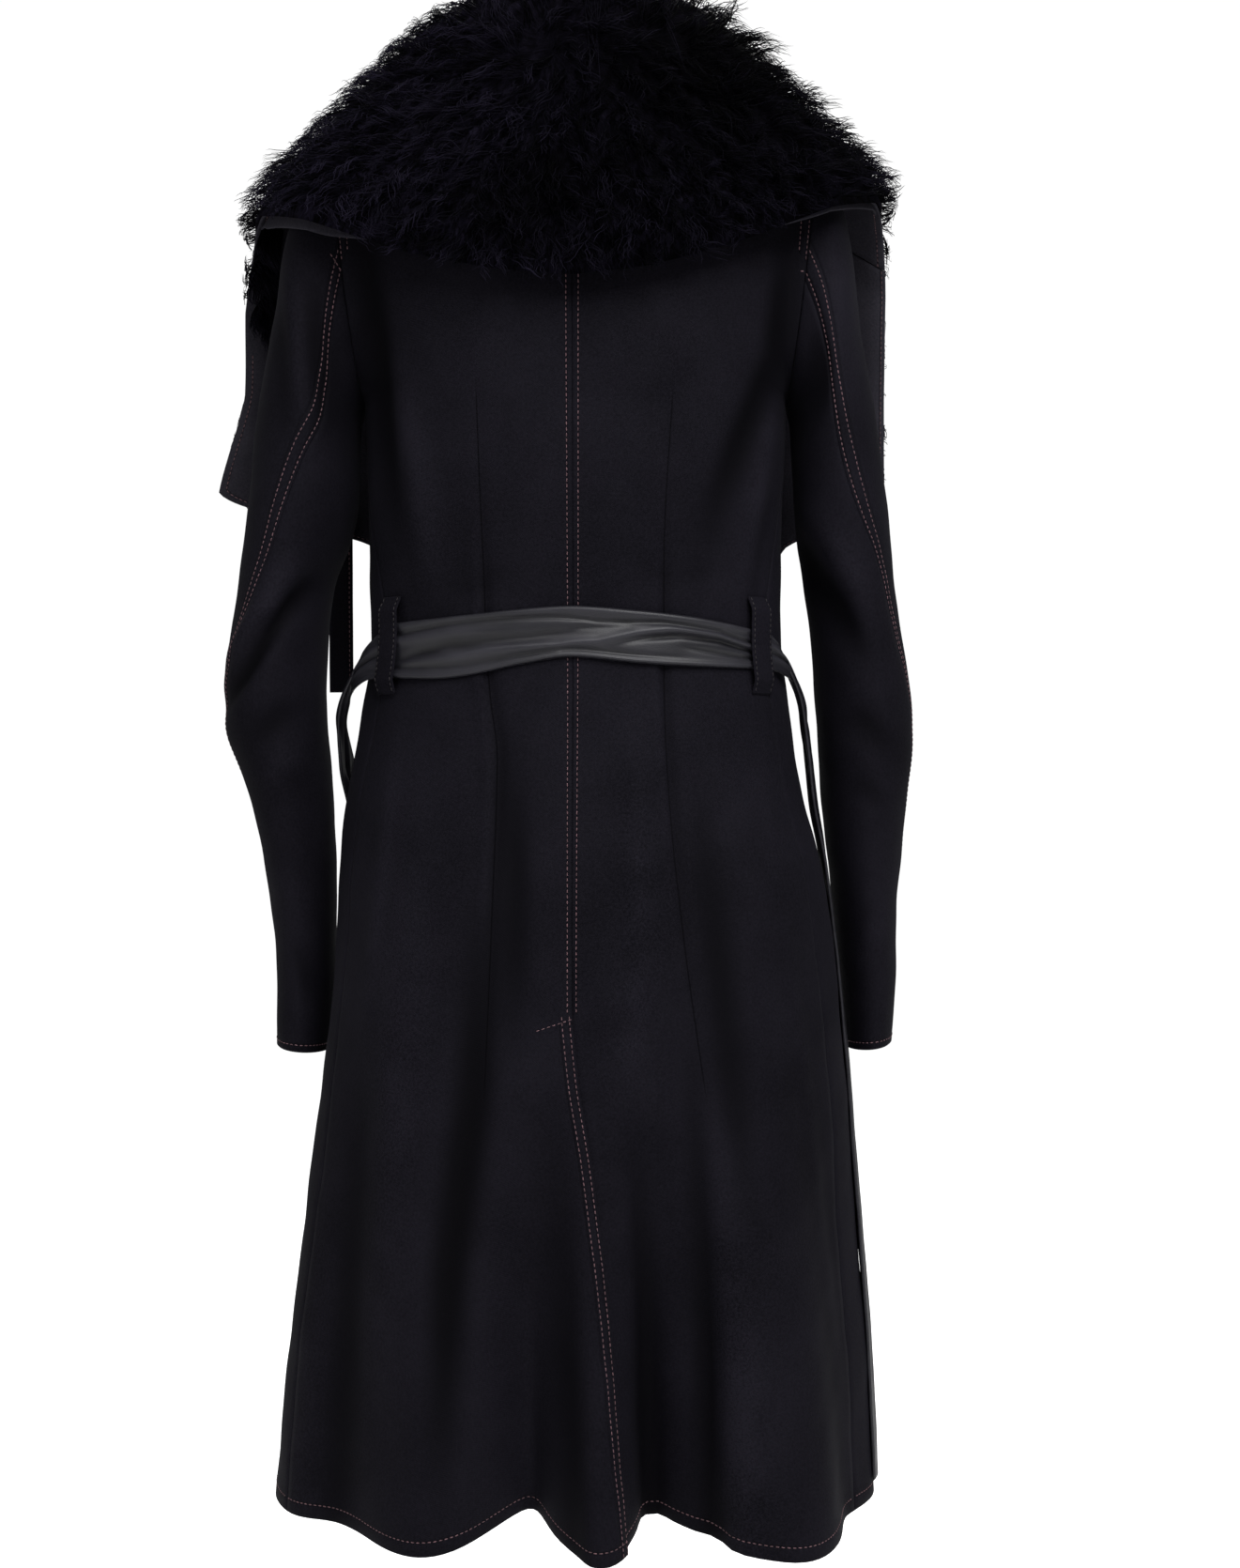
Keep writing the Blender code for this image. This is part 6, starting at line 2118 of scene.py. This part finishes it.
@dataclass
class Belt(Garment):
    """The soft leather belt, its two hanging ends and the two loops that carry it."""

    loop_angle: float = 66.5
    loop_half_angle: float = 3.6
    loop_top: float = -0.398
    loop_bottom: float = -0.47
    loop_rise: float = 0.005
    edge_inset: float = 0.003
    loop_inset: float = 0.002
    back_gathers: tuple[Gather, ...] = lay_gathers(
        (-2.0, 0.045, (-1.5, 0.7), (0.0, 0.77), (0.8, 0.88), (1.4, 0.89), (2.7, 0.79), (3.4, 0.73),
         (4.5, 0.81), (5.4, 0.78), (6.0, 0.62), (7.5, 0.5)),
        (1.2, 0.06, (-1.5, 0.9), (0.0, 0.94), (3.0, 0.93), (5.4, 0.93), (7.5, 0.9)),
        (-2.2, 0.095, (-0.8, 0.16), (0.1, 0.27), (0.45, 0.43), (0.9, 0.55), (1.5, 0.52), (2.1, 0.47),
         (3.4, 0.48)),
        (1.8, 0.08, (-0.6, 0.62), (0.2, 0.66), (1.0, 0.74), (1.8, 0.68)),
        (2.6, 0.09, (-0.8, 0.16), (0.5, 0.3), (1.5, 0.35), (2.7, 0.24), (3.4, 0.33), (4.0, 0.57), (4.6, 0.7),
         (5.4, 0.68), (6.0, 0.48), (7.6, 0.3)),
        (-1.6, 0.045, (-1.5, 0.1), (0.0, 0.16), (0.6, 0.2), (1.5, 0.18), (2.9, 0.16), (3.6, 0.15),
         (5.2, 0.16)),
        (1.0, 0.05, (-1.5, 0.03), (0.0, 0.05), (3.0, 0.05), (6.0, 0.06), (7.5, 0.06)),
        (-3.2, 0.06, (3.5, 0.3), (4.2, 0.5), (4.8, 0.6), (5.4, 0.58), (6.0, 0.4), (7.4, 0.3)),
        (-1.8, 0.05, (4.7, 0.38), (5.2, 0.33), (6.0, 0.22), (7.2, 0.16)),
        (-1.2, 0.07, (2.9, 0.56), (3.3, 0.6), (3.7, 0.66), (4.1, 0.72)),
    )
    tail_gathers: tuple[Gather, ...] = lay_gathers(
        (2.6, 0.1, (0.0, 0.66), (1.4, 0.6), (2.8, 0.66), (4.2, 0.58)),
        (2.2, 0.09, (0.0, 0.3), (1.6, 0.36), (3.0, 0.28), (4.4, 0.36)),
        (-2.0, 0.07, (0.0, 0.48), (1.4, 0.5), (2.8, 0.46)),
        (-1.8, 0.07, (1.0, 0.82), (2.4, 0.78), (3.6, 0.86)),
        (-2.4, 0.09, (2.8, 0.5), (4.0, 0.5), (5.6, 0.44)),
        (-2.0, 0.08, (3.8, 0.2), (4.6, 0.3), (5.4, 0.16)),
        (2.2, 0.09, (4.0, 0.7), (4.8, 0.82), (5.6, 0.72)),
        (1.4, 0.12, (5.2, 0.3), (6.8, 0.36), (8.4, 0.32)),
        (-1.2, 0.1, (5.8, 0.66), (7.2, 0.6), (9.2, 0.66)),
    )

    def strap(self, route: Table) -> Surface:
        """Return a strap's surface over the coat, along a route."""

        def surface(across: Array, along: Array) -> Array:
            """Return places across the strap, at rows of the route."""
            angle, height, off, width, turn = route.all_at(BELT_COLUMNS, along)
            shift = (across - 0.5) * width
            tilt = np.radians(turn)
            around = np.linalg.norm(TORSO.ring(angle, height)[..., :2], axis=-1)
            return TORSO.stand_off(angle - np.degrees(shift * np.sin(tilt) / around),
                                   height + shift * np.cos(tilt), off)

        return surface

    def loop(self, side: Side) -> Surface:
        """Return the inner face of a belt loop, which stands off the coat between its ends."""

        def surface(across: Array, down: Array) -> Array:
            """Return places across the loop, from its top (0) to its lower end (1)."""
            height = self.loop_top + (self.loop_bottom - self.loop_top) * down
            rise = self.loop_rise * ramp(down, 0.0, 0.16) * ramp(-down, -1.0, -0.84)
            return TORSO.stand_off(side.value * (self.loop_angle + self.loop_half_angle * across), height,
                                   2 * SEAM_GAP + rise)

        return surface

    def build(self) -> None:
        """Make the belt, its ends and its loops, and stitch their edges."""
        edges, loop_edges = (tuple(SewnSeam(edge, (inset,)) for edge in (Edge.FIRST, Edge.LAST))
                             for inset in (self.edge_inset, self.loop_inset))
        self.add(Sheet("belt_back_stretch", ("belt_back",), self.strap(BELT_BACK), even(34),
                       np.linspace(0.0, len(BELT_BACK.rows) - 1.0, 130), -LEATHER, 0.0, Wardrobe.LEATHER,
                       gathers=self.back_gathers, swell=0.0003, seed=4.4, seams=edges[:1], round_edge=0.0009,
                       held="stretched", rests_on=("belt_loop_left", "belt_loop_right")))
        for route, side in ((BELT_TAIL_LEFT, Side.LEFT), (BELT_TAIL_RIGHT, Side.RIGHT)):
            self.add(Sheet(f"belt_{side.word}_end", (f"belt_end_{side.word}",), self.strap(route), even(18),
                           np.linspace(0.0, len(route.rows) - 1.0, 170), LEATHER * side.value, 0.0,
                           Wardrobe.LEATHER, gathers=self.tail_gathers, swell=0.0004, seed=6.1, seams=edges,
                           round_edge=0.0009, rests_on=(f"belt_loop_{side.word}",)))
            self.add(Sheet(f"loop_{side.word}", (f"belt_loop_{side.word}",), self.loop(side),
                           np.linspace(-1.0, 1.0, 9), even(40), CLOTH * side.value, 0.0, Wardrobe.WOOL,
                           swell=0.0002, seed=1.0, seams=loop_edges, held="stretched",
                           rests_on=(f"back_{side.word}", f"front_{side.word}")))
        loops = [sheet for sheet in self.sheets if sheet.finish is Wardrobe.WOOL]
        self.sew("loop_stitches", loops, finish=Wardrobe.THREAD_DARK)
        for sheet in self.sheets:
            if sheet.finish is Wardrobe.LEATHER:
                sheet.declare()


@dataclass
class Studio:
    """The pale floor, the white room, the soft lights and the camera."""

    floor_z: float = -1.45
    half_width: float = 5.0
    camera_place: Triple = (-0.034, 1.6, -0.536)
    lens: float = 47.9
    ambient: float = 0.16

    def build(self) -> None:
        """Set the stage, the lights and the camera."""
        self.add_floor()
        self.add_light("key", (-0.9, 2.3, 1.8), (0.0, 0.0, -0.5), 1.9, 95.0)
        self.add_light("fill", (2.2, 2.2, 0.0), (0.0, 0.0, -0.6), 2.2, 7.0)
        self.add_light("front_key", (0.0, -2.5, 1.9), (0.0, 0.0, -0.5), 1.8, 70.0)
        self.add_light("top", (0.0, 0.2, 2.6), (0.0, 0.0, -0.5), 2.6, 30.0)
        self.add_sky()
        bpy.context.scene.view_settings.view_transform = "Standard"
        camera = bpy.data.cameras.new("camera")
        camera.lens, camera.sensor_width = self.lens, 36.0
        camera.clip_start, camera.clip_end = 0.05, 60.0
        viewer = bpy.data.objects.new("camera", camera)
        viewer.location = self.camera_place
        viewer.rotation_euler = (math.pi / 2, 0.0, math.pi)
        bpy.context.scene.collection.objects.link(viewer)
        bpy.context.scene.camera = viewer

    def add_sky(self) -> None:
        """Surround the coat with soft light, and show a white room behind it."""
        world = bpy.context.scene.world or bpy.data.worlds.new("studio")
        bpy.context.scene.world = world
        world.use_nodes = True
        nodes = Nodes(world.node_tree)
        seen = nodes.add("ShaderNodeLightPath").outputs["Is Camera Ray"]
        strength = nodes.spread(seen, 0.0, 1.0, self.ambient, 1.02)
        nodes.feed(world.node_tree.nodes["Background"], {"Color": (1.0, 1.0, 1.0, 1.0), "Strength": strength})

    def add_floor(self) -> None:
        """Make a wide pale floor."""
        bpy.ops.object.select_all(action="DESELECT")
        bpy.ops.mesh.primitive_plane_add(size=2.0 * self.half_width, location=(0.0, 0.0, self.floor_z))
        floor = bpy.context.object
        floor.name = "floor"
        bpy.ops.object.transform_apply(location=True)
        floor.data.materials.append(Wardrobe.get(Wardrobe.FLOOR))

    def add_light(self, name: str, place: Triple, aim: Triple, size: float, power: float) -> None:
        """Add a square soft light.

        Args:
            name: Its name.
            place: Where it stands.
            aim: The point that it looks at.
            size: Its width.
            power: Its power in watts.
        """
        lamp = bpy.data.lights.new(name, "AREA")
        lamp.size, lamp.energy = size, power
        light = bpy.data.objects.new(name, lamp)
        light.location = place
        way = np.array(aim) - np.array(place)
        flat = math.hypot(way[0], way[1])
        light.rotation_euler = (math.atan2(flat, -way[2]), 0.0, math.atan2(way[1], way[0]) - math.pi / 2)
        bpy.context.scene.collection.objects.link(light)


def main() -> None:
    """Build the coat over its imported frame, and light it."""
    logging.basicConfig(level=logging.INFO, format="%(message)s")
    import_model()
    Studio().build()
    for part in (Body(), Sleeves(), CollarCloth(), Belt(), Fur()):
        part.build()
        log.info("%s is made", type(part).__name__)


if __name__ == "__main__":
    main()
